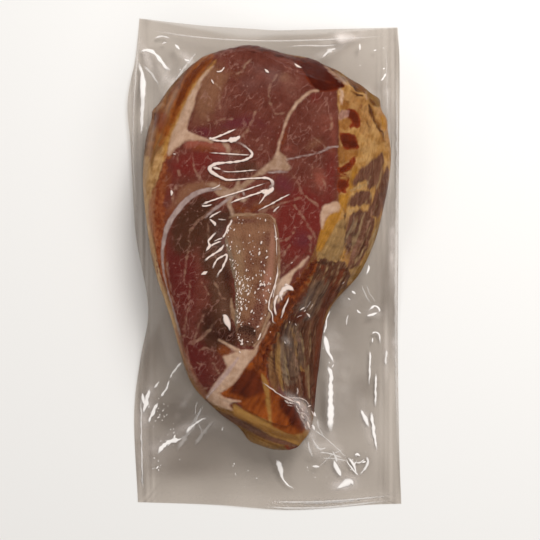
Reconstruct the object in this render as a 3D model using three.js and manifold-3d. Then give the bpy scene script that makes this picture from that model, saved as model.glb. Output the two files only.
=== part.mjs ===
// Smoked pork shoulder on the bone, sawn lengthwise and sealed in a clear vacuum pouch.
// Millimetres, +Z up. It lies with the cut face up, the butt end towards +Y and the shank
// towards -Y. The origin is under the middle of the pouch, on the surface that it lies on.
// The joint is the filled part of the pack, where the film clings to the meat. The empty film
// round it is a solid of its own, and so is the sawn bone that shows in the cut face.

import * as THREE from 'three';
import { mergeVertices } from 'three/addons/utils/BufferGeometryUtils.js';
import Module from 'manifold-3d';

const wasm = await Module();
wasm.setup();

const { clamp, degToRad, lerp, smoothstep } = THREE.MathUtils;

// Heights of the joint
const BUTT_HEIGHT = 66;
const SHANK_HEIGHT = 48;
const SLOPE_TOP_Y = -33;
const SLOPE_END_Y = -150;
const WAIST_SHARE = 0.4;
const RIM_DROP = 2.5;

// Plan of the foot, the flat patch that the joint rests on
const FOOT_INSET = 0.34;
const FOOT_MIDDLE_X = -4;
const FOOT_BUTT_Y = 130;
const FOOT_SHANK_Y = -125;

// Outline of the joint at its widest line, clockwise from the butt end, seen from above
const WAIST_OUTLINE = [
  [-8, 201], [44, 189], [92, 164], [116, 109], [107, 40],
  [89, -7], [59, -45], [50, -100], [44, -149], [31, -170],
  [7, -171], [-22, -153], [-47, -134], [-70, -106], [-87, -45],
  [-103, 16], [-112, 73], [-107, 125], [-85, 165], [-50, 193],
];

// Edge of the sawn face, point for point with the outline above
const FACE_OUTLINE = [
  [-9, 188], [30, 170], [63, 154], [66, 104], [60, 50],
  [44, 14], [22, -25], [-1, -72], [24, -124], [27, -144],
  [8, -145], [-24, -129], [-45, -119], [-65, -97], [-79, -43],
  [-95, 16], [-95, 72], [-77, 123], [-63, 155], [-44, 182],
];

// Stations, counted in points along the outlines, where the rows of the joint start and end
const BUTT_STATION = 0;
const SHANK_STATION = 9.5;

// Mounds and, below zero, hollows of the upper side: the middle, the reach along and across,
// the turn of the long axis from +X in degrees, and the height
const RELIEF = [
  { what: 'hollow beside the shank ridge', at: [31, -77], reach: [50, 17], turn: 74, height: -12 },
  { what: 'ridge from the flank to the shank', at: [23, -33], reach: [46, 7], turn: 54, height: 3 },
  { what: 'sinew in the hollow', at: [17, -96], reach: [30, 4], turn: 84, height: 4 },
  { what: 'fat step beside the face', at: [61, 25], reach: [26, 9], turn: 66, height: 4 },
  { what: 'skin edge at the butt', at: [90, 150], reach: [26, 8], turn: -36, height: 4 },
  { what: 'dried facet at the butt', at: [50, 170], reach: [24, 10], turn: -32, height: -5 },
  { what: 'upper pit in the flank', at: [75, 127], reach: [11, 8], turn: 90, height: -6 },
  { what: 'middle pit in the flank', at: [74, 103], reach: [9, 8], turn: 90, height: -6 },
  { what: 'lower pit in the flank', at: [72, 74], reach: [13, 8], turn: 90, height: -6 },
  { what: 'lean strip in the flank', at: [97, 82], reach: [30, 9], turn: 80, height: -5 },
  { what: 'lean strip lower down', at: [84, 22], reach: [34, 8], turn: 62, height: -5 },
  { what: 'muscle at the butt', at: [-26, 148], reach: [46, 34], turn: -30, height: 2 },
  { what: 'muscle at the left', at: [-57, 84], reach: [30, 20], turn: 10, height: 2 },
  { what: 'muscle at the right', at: [40, 122], reach: [20, 32], turn: 0, height: 2 },
  { what: 'muscle beside the bone', at: [34, 36], reach: [22, 36], turn: 0, height: 2 },
  { what: 'long muscle of the left side', at: [-62, -35], reach: [66, 20], turn: 106, height: 2.5 },
  { what: 'lean dip at the shank', at: [6, -132], reach: [30, 8], turn: -14, height: -3 },
  { what: 'ledge under the shank face', at: [10, -158], reach: [34, 5], turn: -14, height: -5 },
  { what: 'fat edge at the left', at: [-92, 108], reach: [40, 9], turn: 66, height: -3 },
  { what: 'fold of rind at the left', at: [-102, 88], reach: [34, 4], turn: 76, height: 3 },
];

// Slow unevenness of the whole upper side: waves that cross at odd angles
const UNEVEN_WAVES = [
  { length: 83, turn: 24, height: 0.9 },
  { length: 47, turn: 101, height: 0.6 },
  { length: 31, turn: 158, height: 0.4 },
];

// Bone: its outline in the cut face, clockwise, how deep it goes, and the hole at its lower end
const BONE_OUTLINE = [
  [-13, 42], [3, 43], [11, 30], [12, 2], [8, -23], [1, -48], [-8, -70],
  [-22, -72], [-26, -54], [-26, -23], [-31, 2], [-35, 23], [-29, 40],
];
const BONE_MIDDLE = new THREE.Vector3(-13, -15, 0);
const BONE_TOP = BUTT_HEIGHT + 10;
const BONE_SHOULDER = 60;
const BONE_DEPTH = 20;
const MARROW_HOLE = { at: [-16, -61], radii: [8, 6, 6] };
const BONE_END_ROUNDING = 0.4;
const GAP = 0.35;

// Pouch: the four sides of the sealed film as it lies, clockwise
const POUCH_TOP = [[-119, 233.2], [-64, 226], [-10, 221], [33, 221], [126, 224.5]];
const POUCH_RIGHT = [[126, 224.5], [128, 170], [126, -34], [127.5, -167], [129.5, -227.5]];
const POUCH_BOTTOM = [[129.5, -227.5], [98.5, -228.5], [24, -233.2], [-46.5, -228.5], [-120.5, -226]];
const POUCH_LEFT = [
  [-120.5, -226], [-124, -143], [-117.5, -89], [-109, -40], [-121, 32],
  [-126.5, 109], [-129.5, 153], [-122, 197.5], [-119, 233.2],
];
const CORNER_STATIONS = { topLeft: 18.7, topRight: 21.9, bottomRight: 29, bottomLeft: 31.5 };
const MARGIN_THICKNESS = 1;
const MARGIN_GAP = 0.6;
const SKIRT_REACH = 26;
const SKIRT_POWER = 1.3;
const RIPPLE_HEIGHT = 3;
const RIPPLE_COUNT = 19;

// How finely each surface is divided
const ROWS = 60;
const LOWER_STEPS = 4;
const UPPER_STEPS = 7;
const UPPER_SWEEP = degToRad(68);
const FACE_STEPS = 26;
const UNDER_STEPS = 8;
const BONE_STEPS = 56;
const BONE_RINGS = 5;
const MARGIN_STEPS = { top: 22, right: 42, bottom: 22, left: 42 };
const MARGIN_RINGS = 7;
const MARGIN_RING_SPREAD = 1.4;

const FINISHES = {
  meat: { color: 0x6e3a2c, roughness: 0.4, metalness: 0 },
  bone: { color: 0xa98a6c, roughness: 0.6, metalness: 0 },
  film: { color: 0xc9c3b9, roughness: 0.15, metalness: 0 },
};

// A smooth curve through points given in plan.
function curveThrough(points, closed) {
  const vectors = points.map(([x, y]) => new THREE.Vector3(x, y, 0));
  return new THREE.CatmullRomCurve3(vectors, closed, 'catmullrom', 0.5);
}

const waistCurve = curveThrough(WAIST_OUTLINE, true);
const faceCurve = curveThrough(FACE_OUTLINE, true);
const STATIONS = WAIST_OUTLINE.length;

function atStation(curve, station) {
  return curve.getPoint((station % STATIONS) / STATIONS);
}

// Height of the sawn face: level over the butt, then falling towards the shank.
function faceLevel(y) {
  return lerp(BUTT_HEIGHT, SHANK_HEIGHT, smoothstep(-y, -SLOPE_TOP_Y, -SLOPE_END_Y));
}

// How far a place stands above the plain form: each mound adds its height times
// exp(-(along^2 + across^2)), and each wave a sine of the distance along its direction.
function reliefAt(x, y) {
  let sum = 0;
  for (const { at, reach, turn, height } of RELIEF) {
    const angle = degToRad(turn);
    const dx = x - at[0];
    const dy = y - at[1];
    const along = (dx * Math.cos(angle) + dy * Math.sin(angle)) / reach[0];
    const across = (dy * Math.cos(angle) - dx * Math.sin(angle)) / reach[1];
    sum += height * Math.exp(-(along * along + across * across));
  }
  for (const { length, turn, height } of UNEVEN_WAVES) {
    const along = x * Math.cos(degToRad(turn)) + y * Math.sin(degToRad(turn));
    sum += height * Math.sin(2 * Math.PI * along / length);
  }
  return sum;
}

// One flank at a station, from the foot round the widest line and up to the rim of the face.
// Below the waist it is a quarter ellipse. Above it, an ellipse swept short of its top, so
// that it meets the face at an edge.
function flankLine(station) {
  const waist = atStation(waistCurve, station);
  const rim = atStation(faceCurve, station);
  waist.z = WAIST_SHARE * faceLevel(waist.y);
  rim.z = faceLevel(rim.y) - RIM_DROP;
  const middle = new THREE.Vector3(FOOT_MIDDLE_X, clamp(waist.y, FOOT_SHANK_Y, FOOT_BUTT_Y), 0);
  const foot = waist.clone().lerp(middle, FOOT_INSET).setZ(0);
  const line = [];
  for (let step = 0; step < LOWER_STEPS; step += 1) {
    const angle = (Math.PI / 2) * (step / LOWER_STEPS);
    const point = foot.clone().lerp(waist, Math.sin(angle));
    line.push(point.setZ(waist.z * (1 - Math.cos(angle))));
  }
  for (let step = 0; step <= UPPER_STEPS; step += 1) {
    const angle = UPPER_SWEEP * (step / UPPER_STEPS);
    const inward = (1 - Math.cos(angle)) / (1 - Math.cos(UPPER_SWEEP));
    const point = waist.clone().lerp(rim, inward);
    point.z = lerp(waist.z, rim.z, Math.sin(angle) / Math.sin(UPPER_SWEEP));
    point.z += reliefAt(point.x, point.y) * smoothstep(step / UPPER_STEPS, 0, 0.6);
    line.push(point);
  }
  return line;
}

// One row of the joint: up the left flank, across the sawn face, down the right flank, and
// back along the flat underside.
function jointRow(share) {
  const left = flankLine(lerp(STATIONS, SHANK_STATION, share));
  const right = flankLine(lerp(BUTT_STATION, SHANK_STATION, share)).reverse();
  const leftRim = left[left.length - 1];
  const rightRim = right[0];
  const face = [];
  for (let step = 1; step < FACE_STEPS; step += 1) {
    const across = step / FACE_STEPS;
    const point = leftRim.clone().lerp(rightRim, across);
    const drop = RIM_DROP * Math.abs(2 * across - 1) ** 6;
    face.push(point.setZ(faceLevel(point.y) - drop + reliefAt(point.x, point.y)));
  }
  const under = [];
  for (let step = 1; step < UNDER_STEPS; step += 1) {
    under.push(right[right.length - 1].clone().lerp(left[0], step / UNDER_STEPS));
  }
  return [...left, ...face, ...right, ...under];
}

// A closed surface from a grid of points. Both ways round the columns close on themselves;
// the rows close only where wrapRows says so. Triangles of no area are dropped.
function skinOf(rows, wrapRows) {
  const columns = rows[0].length;
  const positions = rows.flat().flatMap((point) => point.toArray());
  const index = [];
  const lastRow = wrapRows ? rows.length : rows.length - 1;
  for (let row = 0; row < lastRow; row += 1) {
    const below = (row + 1) % rows.length;
    for (let column = 0; column < columns; column += 1) {
      const next = (column + 1) % columns;
      const a = row * columns + column;
      const b = row * columns + next;
      const c = below * columns + next;
      const d = below * columns + column;
      index.push(a, d, c, a, c, b);
    }
  }
  const geometry = new THREE.BufferGeometry();
  geometry.setAttribute('position', new THREE.Float32BufferAttribute(positions, 3));
  geometry.setIndex(index);
  return withoutSlivers(mergeVertices(geometry, 1e-3));
}

function withoutSlivers(geometry) {
  const kept = [];
  const index = geometry.index.array;
  for (let i = 0; i < index.length; i += 3) {
    const [a, b, c] = [index[i], index[i + 1], index[i + 2]];
    if (a !== b && b !== c && c !== a) kept.push(a, b, c);
  }
  geometry.setIndex(kept);
  return geometry;
}

function toSolid(geometry) {
  const vertProperties = Float32Array.from(geometry.attributes.position.array);
  const triVerts = Uint32Array.from(geometry.index.array);
  return new wasm.Manifold(new wasm.Mesh({ numProp: 3, vertProperties, triVerts }));
}

function fromSolid(solid) {
  const { vertProperties, triVerts } = solid.getMesh();
  const geometry = new THREE.BufferGeometry();
  geometry.setAttribute('position', new THREE.BufferAttribute(vertProperties, 3));
  geometry.setIndex(new THREE.BufferAttribute(triVerts, 1));
  return geometry;
}

// The bone runs down into the meat as half a log: its outline narrows with depth as the
// cosine of the angle whose sine is the depth reached. grow makes it larger all round.
function boneGeometry(grow) {
  const curve = curveThrough(BONE_OUTLINE, true);
  const outline = [];
  for (let step = 0; step < BONE_STEPS; step += 1) {
    const tangent = curve.getTangent(step / BONE_STEPS);
    const outward = new THREE.Vector3(-tangent.y, tangent.x, 0);
    outline.push(curve.getPoint(step / BONE_STEPS).addScaledVector(outward, grow));
  }
  const ring = (across, along, z) => outline.map((point) => new THREE.Vector3(
    lerp(BONE_MIDDLE.x, point.x, across),
    lerp(BONE_MIDDLE.y, point.y, along),
    z,
  ));
  const rings = [ring(0, 0, BONE_TOP), ring(1, 1, BONE_TOP)];
  for (let step = 0; step <= BONE_RINGS; step += 1) {
    const angle = (Math.PI / 2) * (step / (BONE_RINGS + 1));
    const narrowing = Math.cos(angle);
    const z = BONE_SHOULDER - (BONE_DEPTH + grow) * Math.sin(angle);
    rings.push(ring(narrowing, lerp(1, narrowing, BONE_END_ROUNDING), z));
  }
  rings.push(ring(0, 0, rings[rings.length - 1][0].z));
  return skinOf(rings.reverse(), false);
}

function marrowHole() {
  const hole = new THREE.SphereGeometry(1, 20, 12);
  hole.deleteAttribute('normal');
  hole.deleteAttribute('uv');
  hole.scale(...MARROW_HOLE.radii);
  const [x, y] = MARROW_HOLE.at;
  hole.translate(x, y, faceLevel(y) + reliefAt(x, y));
  return withoutSlivers(mergeVertices(hole, 1e-4));
}

// The empty film: from just outside the joint's widest line it drops as a skirt,
// exp(-(distance / reach)^power), rippled where it is drawn in, and lies flat out to its
// sealed edge.
function marginRing(station, edge) {
  const waist = atStation(waistCurve, station);
  const tangent = waistCurve.getTangent((station % STATIONS) / STATIONS);
  const start = new THREE.Vector3(waist.x - tangent.y * MARGIN_GAP, waist.y + tangent.x * MARGIN_GAP, 0);
  const waistTop = WAIST_SHARE * faceLevel(waist.y) + MARGIN_THICKNESS / 2;
  const width = start.distanceTo(edge);
  const turn = 2 * Math.PI * RIPPLE_COUNT * station / STATIONS;
  const ripple = RIPPLE_HEIGHT * (0.5 + 0.5 * Math.sin(turn));
  const top = [];
  const under = [];
  for (let ring = 0; ring <= MARGIN_RINGS; ring += 1) {
    const share = (ring / MARGIN_RINGS) ** MARGIN_RING_SPREAD;
    const point = start.clone().lerp(edge, share);
    const reach = share * width / SKIRT_REACH;
    const skirt = Math.exp(-(reach ** SKIRT_POWER));
    const height = lerp(MARGIN_THICKNESS, waistTop, skirt) + ripple * reach * skirt;
    top.push(point.clone().setZ(height));
    under.push(point.clone().setZ(Math.max(0, height - MARGIN_THICKNESS)));
  }
  return [...top, ...under.reverse()];
}

function marginGeometry() {
  const { topLeft, topRight, bottomRight, bottomLeft } = CORNER_STATIONS;
  const sides = [
    { edge: POUCH_TOP, steps: MARGIN_STEPS.top, from: topLeft, to: topRight },
    { edge: POUCH_RIGHT, steps: MARGIN_STEPS.right, from: topRight, to: bottomRight },
    { edge: POUCH_BOTTOM, steps: MARGIN_STEPS.bottom, from: bottomRight, to: bottomLeft },
    { edge: POUCH_LEFT, steps: MARGIN_STEPS.left, from: bottomLeft, to: topLeft + STATIONS },
  ];
  const rings = [];
  for (const { edge, steps, from, to } of sides) {
    const curve = curveThrough(edge, false);
    for (let step = 0; step < steps; step += 1) {
      rings.push(marginRing(lerp(from, to, step / steps), curve.getPoint(step / steps)));
    }
  }
  return skinOf(rings, true);
}

function jointGeometry() {
  const rows = [];
  for (let row = 0; row <= ROWS; row += 1) {
    rows.push(jointRow(row / ROWS));
  }
  return skinOf(rows, false);
}

function addMesh(group, name, geometry, finish) {
  const mesh = new THREE.Mesh(geometry, new THREE.MeshStandardMaterial(finish));
  mesh.name = name;
  group.add(mesh);
}

const joint = toSolid(jointGeometry());
const meat = joint.subtract(toSolid(boneGeometry(GAP)));
const bone = joint.intersect(toSolid(boneGeometry(0))).subtract(toSolid(marrowHole()));

const pack = new THREE.Group();
addMesh(pack, 'pork_shoulder', fromSolid(meat), FINISHES.meat);
addMesh(pack, 'bone', fromSolid(bone), FINISHES.bone);
addMesh(pack, 'pouch_margin', marginGeometry(), FINISHES.film);

export default pack;
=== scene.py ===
"""Smoked pork shoulder on the bone, sawn lengthwise and sealed in a clear vacuum pouch.

Lengths are in millimetres until a mesh is made. +Y runs from the shank to the butt, +Z is up
out of the sawn face. Seams, fat and creases are drawn where they show in the photo, in its
540 by 540 pixels, and to_photo says where a point of the part shows in it.
"""

import math

import bpy
import numpy as np
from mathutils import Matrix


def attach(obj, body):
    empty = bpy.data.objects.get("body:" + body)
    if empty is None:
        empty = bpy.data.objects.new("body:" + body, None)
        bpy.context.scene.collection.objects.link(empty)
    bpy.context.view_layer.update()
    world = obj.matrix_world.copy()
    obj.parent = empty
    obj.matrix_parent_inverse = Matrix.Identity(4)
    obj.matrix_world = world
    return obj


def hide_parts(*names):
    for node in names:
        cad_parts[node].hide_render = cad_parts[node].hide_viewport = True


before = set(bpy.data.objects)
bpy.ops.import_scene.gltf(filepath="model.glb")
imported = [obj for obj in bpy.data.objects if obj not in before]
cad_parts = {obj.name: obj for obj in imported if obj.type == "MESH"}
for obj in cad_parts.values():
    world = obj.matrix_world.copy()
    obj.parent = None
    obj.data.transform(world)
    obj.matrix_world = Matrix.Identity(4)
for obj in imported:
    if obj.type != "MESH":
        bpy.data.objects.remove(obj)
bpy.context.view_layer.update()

MM = 0.001

# The photo: straight down, from this height, with its middle over this place of the part
PHOTO_SIDE = 540
LENS_HEIGHT = 900.0
MM_PER_PIXEL = 0.95
PHOTO_MIDDLE = (4.9, -5.6)

# Form of the joint, the same named sizes as its solid
BUTT_HEIGHT = 66.0
SHANK_HEIGHT = 48.0
SLOPE_TOP_Y = -33.0
SLOPE_END_Y = -150.0
WAIST_SHARE = 0.4
RIM_DROP = 2.5
FOOT_INSET = 0.34
FOOT_MIDDLE_X = -4.0
FOOT_BUTT_Y = 130.0
FOOT_SHANK_Y = -125.0
UPPER_SWEEP = math.radians(68)
WAIST_OUTLINE = [
    (-8, 201), (44, 189), (92, 164), (116, 109), (107, 40),
    (89, -7), (59, -45), (50, -100), (44, -149), (31, -170),
    (7, -171), (-22, -153), (-47, -134), (-70, -106), (-87, -45),
    (-103, 16), (-112, 73), (-107, 125), (-85, 165), (-50, 193),
]
FACE_OUTLINE = [
    (-9, 188), (30, 170), (63, 154), (66, 104), (60, 50),
    (44, 14), (22, -25), (-1, -72), (24, -124), (27, -144),
    (8, -145), (-24, -129), (-45, -119), (-65, -97), (-79, -43),
    (-95, 16), (-95, 72), (-77, 123), (-63, 155), (-44, 182),
]
STATIONS = len(WAIST_OUTLINE)
SHANK_STATION = 9.5
RELIEF = [  # middle, reach along and across, turn of the long axis in degrees, height
    ((31, -77), (50, 17), 74, -12),  # hollow beside the shank ridge
    ((23, -33), (46, 7), 54, 3),  # ridge from the flank to the shank
    ((17, -96), (30, 4), 84, 4),  # sinew in the hollow
    ((61, 25), (26, 9), 66, 4),  # fat step beside the face
    ((90, 150), (26, 8), -36, 4),  # skin edge at the butt
    ((50, 170), (24, 10), -32, -5),  # dried facet at the butt
    ((75, 127), (11, 8), 90, -6),  # upper pit in the flank
    ((74, 103), (9, 8), 90, -6),  # middle pit in the flank
    ((72, 74), (13, 8), 90, -6),  # lower pit in the flank
    ((97, 82), (30, 9), 80, -5),  # lean strip in the flank
    ((84, 22), (34, 8), 62, -5),  # lean strip lower down
    ((-26, 148), (46, 34), -30, 2),  # muscle at the butt
    ((-57, 84), (30, 20), 10, 2),  # muscle at the left
    ((40, 122), (20, 32), 0, 2),  # muscle at the right
    ((34, 36), (22, 36), 0, 2),  # muscle beside the bone
    ((-62, -35), (66, 20), 106, 2.5),  # long muscle of the left side
    ((6, -132), (30, 8), -14, -3),  # lean dip at the shank
    ((10, -158), (34, 5), -14, -5),  # ledge under the shank face
    ((-92, 108), (40, 9), 66, -3),  # fat edge at the left
    ((-102, 88), (34, 4), 76, 3),  # fold of rind at the left
]
# Small pushes of the outline to where the photo shows it: middle, reach along and across, turn
# of the long axis in degrees, push
PUSHES = [
    ((-99, -4), (42, 16), 101, (-3.2, -0.5)),  # left flank
    ((104.5, 151), (7, 7), 0, (4.2, 2.1)),  # corner of the skin at the butt
    ((112, 133.5), (8, 8), 0, (2.6, 0.8)),  # the skin below it
    ((80.5, 174), (16, 12), -36, (-1.8, -3.4)),  # the skin above it
    ((-103, 141), (5, 5), 0, (-3, 0.6)),  # corner of the skin at the left
    ((16, 198), (21, 12), -16, (-0.6, -3.7)),  # the face's edge at the butt
    ((58, 183), (9, 9), -30, (-0.8, -1.6)),  # the same further right
    ((-48, 196), (6, 6), 0, (0.4, -1.6)),  # notch beside the rind
    ((-33, 200), (13, 9), 8, (0, -2.2)),  # the edge between the two
    ((38, -166), (6, 6), 0, (-0.9, 0.9)),  # end of the shank slab
    ((-15.6, -161.8), (8.5, 8.5), 0, (-1.8, -4.4)),  # corner of the shank slab
    ((-1, -163), (13, 8), -16, (-0.4, -3)),  # the slab beside it
]
UNEVEN_WAVES = [(83, 24, 0.9), (47, 101, 0.6), (31, 158, 0.4)]  # length, turn, height

# Bone: its outline in the face, its depth, and how finely its surface is divided
BONE_OUTLINE = [
    (-13, 42), (3, 43), (11, 30), (12, 2), (8, -23), (1, -48), (-8, -70),
    (-22, -72), (-26, -54), (-26, -23), (-31, 2), (-35, 23), (-29, 40),
]
BONE_MIDDLE = (-13, -15)
BONE_SHOULDER = 60.0
BONE_DEPTH = 20.0
BONE_END_ROUNDING = 0.4
BONE_PROUD = 0.3
BONE_EDGE_DROP = 0.2
BONE_EDGE_SHARE = 0.075
SPONGY_HEIGHT = 0.34
MARROW_HOLE = ((-16, -61), (8, 6), 6.0)  # middle, radii, depth
BONE_AROUND, BONE_OUT_RINGS, BONE_DOWN_RINGS = 330, 34, 14

# Meat: its gap to the film, how far relief goes in and out, and the bed that holds the bone
MEAT_UNDER_FILM = 0.8
MEAT_UNDER_FILM_AT_WAIST = 0.25
MEAT_FLOOR_GAP = 0.3
RELIEF_LIMITS = (-1.8, 0.35)
FAT_RISE = 0.25
SUNK_EDGES = {"white_fat": 0.4, "membrane": 0.4, "vein": 0.25, "rim_crust": 0.4, "left_crust": 0.4}
SUNK_CREVICES = 0.8
RUGGED = ("flank_fat", "hollow_lean", "rim_crust", "smoked_edge")
BED_DEPTH, BED_MARGIN, BED_WIDTH = 26, 1.2, 12

# Pouch. The four stations of the joint's widest line are those that its corners face
POUCH_TOP = [(-119, 233.2), (-64, 226), (-10, 221), (33, 221), (126, 224.5)]
POUCH_RIGHT = [(126, 224.5), (128, 170), (126, -34), (127.5, -167), (129.5, -227.5)]
POUCH_BOTTOM = [(129.5, -227.5), (98.5, -228.5), (24, -233.2), (-46.5, -228.5), (-120.5, -226)]
POUCH_LEFT = [
    (-120.5, -226), (-124, -143), (-117.5, -89), (-109, -40), (-121, 32),
    (-126.5, 109), (-129.5, 153), (-122, 197.5), (-119, 233.2),
]
TOP_LEFT, TOP_RIGHT, BOTTOM_RIGHT, BOTTOM_LEFT = 18.7, 21.9, 29.0, 31.5
END_STEPS, SIDE_STEPS, SHEET_ROWS = 210, 290, 64
SHEET_CROWDING = 1.15
SKIRT_REACH = 26.0
SKIRT_POWER = 1.3
RIPPLE_HEIGHT = 3.0
RIPPLE_COUNT = 19
FILM_PAIR = 0.35
FILM_FLOOR_GAP = 0.1
JOINT_FILM_FLOOR_GAP = 0.05

# How deep and how far out, in pixels or millimetres, an outline's depth is still told
FAR = 14.0


def smooth_step(x, low, high):
    """0 up to low, 1 from high on, and 3 t^2 - 2 t^3 between them."""
    t = np.clip((x - low) / (high - low), 0, 1)
    return t * t * (3 - 2 * t)


def mix(a, b, share):
    """The place a share of the way from a to b."""
    return a + (b - a) * share


def cubic(p0, p1, p2, p3, t):
    """Catmull-Rom piece from p1 to p2: it leaves each along the line between its neighbours."""
    return 0.5 * (2 * p1 + (p2 - p0) * t + (2 * p0 - 5 * p1 + 4 * p2 - p3) * t**2
                  + (3 * p1 - p0 - 3 * p2 + p3) * t**3)


def closed_curve(points, station):
    """Places on the smooth closed curve through the points, at stations counted in points."""
    points = np.asarray(points, float)
    station = np.mod(np.asarray(station, float), len(points))
    start = np.floor(station).astype(int)
    near = [points[(start + k) % len(points)] for k in (-1, 0, 1, 2)]
    return cubic(*near, (station - start)[..., None])


def open_curve(points, share):
    """Places on the smooth curve through the points, at shares 0 to 1 of their count."""
    points = np.asarray(points, float)
    points = np.vstack([2 * points[:1] - points[1:2], points, 2 * points[-1:] - points[-2:-1]])
    station = np.asarray(share, float) * (len(points) - 3)
    start = np.minimum(np.floor(station).astype(int), len(points) - 4)
    near = [points[start + k] for k in range(4)]
    return cubic(*near, (station - start)[..., None])


def mound(x, y, middle, reach, turn):
    """exp(-(along^2 + across^2)), with along and across measured from the middle in reaches,
    on axes turned by some degrees."""
    c, s = math.cos(math.radians(turn)), math.sin(math.radians(turn))
    along = ((x - middle[0]) * c + (y - middle[1]) * s) / reach[0]
    across = ((y - middle[1]) * c - (x - middle[0]) * s) / reach[1]
    return np.exp(-(along**2 + across**2))


def stains(patches, u, v):
    """Soft patches of (u, v, reach along, reach across, turn, strength), added up."""
    total = np.zeros_like(u)
    for pu, pv, long, wide, turn, strength in patches:
        total += strength * mound(u, v, (pu, pv), (long, wide), turn)
    return total


def face_level(y):
    """Height of the sawn face: level over the butt, then falling towards the shank."""
    return mix(BUTT_HEIGHT, SHANK_HEIGHT, smooth_step(-y, -SLOPE_TOP_Y, -SLOPE_END_Y))


def relief_at(x, y):
    """Each mound times its height, and waves, each a sine of the distance along its direction."""
    total = np.zeros_like(x)
    for middle, reach, turn, height in RELIEF:
        total += height * mound(x, y, middle, reach, turn)
    for length, turn, height in UNEVEN_WAVES:
        c, s = math.cos(math.radians(turn)), math.sin(math.radians(turn))
        total += height * np.sin(2 * math.pi * (x * c + y * s) / length)
    return total


def pushed(plan):
    """Moves each place by every push times its mound."""
    moved = plan.copy()
    for middle, reach, turn, push in PUSHES:
        moved += mound(plan[..., 0], plan[..., 1], middle, reach, turn)[..., None] * push
    return moved


def with_z(plan, z):
    """Places in plan with their height added."""
    return np.concatenate([plan, np.broadcast_to(z, plan.shape[:-1])[..., None]], axis=-1)


def flank_grid(station, lower, upper):
    """A flank for each station: a quarter ellipse from the foot out to the widest line, then an
    ellipse swept short of its top up to the rim of the face. Also how far above (over zero) or
    below the widest line each column is."""
    waist = closed_curve(WAIST_OUTLINE, station)
    rim = closed_curve(FACE_OUTLINE, station)
    waist_z = WAIST_SHARE * face_level(waist[:, 1])
    rim_z = face_level(rim[:, 1]) - RIM_DROP
    middle_y = np.clip(waist[:, 1], FOOT_SHANK_Y, FOOT_BUTT_Y)
    middle = np.stack([np.full_like(middle_y, FOOT_MIDDLE_X), middle_y], axis=1)
    foot = mix(waist, middle, FOOT_INSET)

    down = (math.pi / 2) * np.arange(lower) / lower
    under = mix(foot[:, None], waist[:, None], np.sin(down)[None, :, None])
    under = with_z(under, waist_z[:, None] * (1 - np.cos(down)))

    step = np.arange(upper + 1) / upper
    up = UPPER_SWEEP * step
    inward = (1 - np.cos(up)) / (1 - math.cos(UPPER_SWEEP))
    plan = mix(waist[:, None], rim[:, None], inward[None, :, None])
    rise = np.sin(up) / math.sin(UPPER_SWEEP)
    z = mix(waist_z[:, None], rim_z[:, None], rise)
    z = z + relief_at(plan[..., 0], plan[..., 1]) * smooth_step(step, 0, 0.6)
    rank = np.concatenate([down / (math.pi / 2) - 1, step])
    return np.concatenate([under, with_z(plan, z)], axis=1), rank


def weld(points, triangles, extras):
    """Joins points that fall together and drops triangles that this leaves without area."""
    keys = np.round(points * 1e4).astype(np.int64)
    _, first, index = np.unique(keys, axis=0, return_index=True, return_inverse=True)
    triangles = index.reshape(-1)[triangles]
    a, b, c = triangles.T
    triangles = triangles[(a != b) & (b != c) & (c != a)]
    return points[first], triangles, [extra[first] for extra in extras]


def grid_triangles(rows, columns, wrap_rows=False):
    """Two triangles for each cell of a grid whose columns close on themselves."""
    row = np.arange(rows if wrap_rows else rows - 1)[:, None]
    column = np.arange(columns)[None, :]
    below, after = (row + 1) % rows, (column + 1) % columns
    a, b = row * columns + column, row * columns + after
    c, d = below * columns + after, below * columns + column
    return np.concatenate([np.stack([a, d, c], -1), np.stack([a, c, b], -1)]).reshape(-1, 3)


def joint_form(rows, lower, upper, across, under):
    """The joint as one closed skin: rows from butt to shank, each up the left flank, over the
    sawn face, down the right flank and back along the flat foot. rank is -1 at the foot, 0 at
    the widest line, 1 at the rim and 2 on the face."""
    share = np.linspace(0, 1, rows + 1)
    left, rank = flank_grid(mix(STATIONS, SHANK_STATION, share), lower, upper)
    right, _ = flank_grid(mix(0.0, SHANK_STATION, share), lower, upper)
    step = np.arange(1, across)[None, :, None] / across
    plan = mix(left[:, -1:, :2], right[:, -1:, :2], step)
    x, y = plan[..., 0], plan[..., 1]
    drop = RIM_DROP * np.abs(2 * step[..., 0] - 1) ** 6
    face = with_z(plan, face_level(y) - drop + relief_at(x, y))
    step = np.arange(1, under)[None, :, None] / under
    foot = mix(right[:, :1], left[:, :1], step)
    grid = np.concatenate([left, face, right[:, ::-1], foot], axis=1)
    grid = with_z(pushed(grid[..., :2]), grid[..., 2])
    ranks = [rank, np.full(across - 1, 2.0), rank[::-1], np.full(under - 1, -1.0)]
    ranks = np.tile(np.concatenate(ranks), rows + 1)
    return weld(grid.reshape(-1, 3), grid_triangles(rows + 1, grid.shape[1]), [ranks])


def normals_of(points, triangles):
    """Unit normals at the points: the sum of the cross products of the triangles round each."""
    a, b, c = (points[triangles[:, k]] for k in range(3))
    cross = np.cross(b - a, c - a)
    total = np.zeros_like(points)
    for k in range(3):
        for axis in range(3):
            total[:, axis] += np.bincount(triangles[:, k], cross[:, axis], len(points))
    return total / np.maximum(np.linalg.norm(total, axis=1, keepdims=True), 1e-9)


def to_photo(points):
    """Where points show in the photo, in its pixels, seen from LENS_HEIGHT straight above."""
    scale = LENS_HEIGHT / (LENS_HEIGHT - points[:, 2]) / MM_PER_PIXEL
    u = PHOTO_SIDE / 2 + (points[:, 0] - PHOTO_MIDDLE[0]) * scale
    v = PHOTO_SIDE / 2 - (points[:, 1] - PHOTO_MIDDLE[1]) * scale
    return u, v


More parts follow.
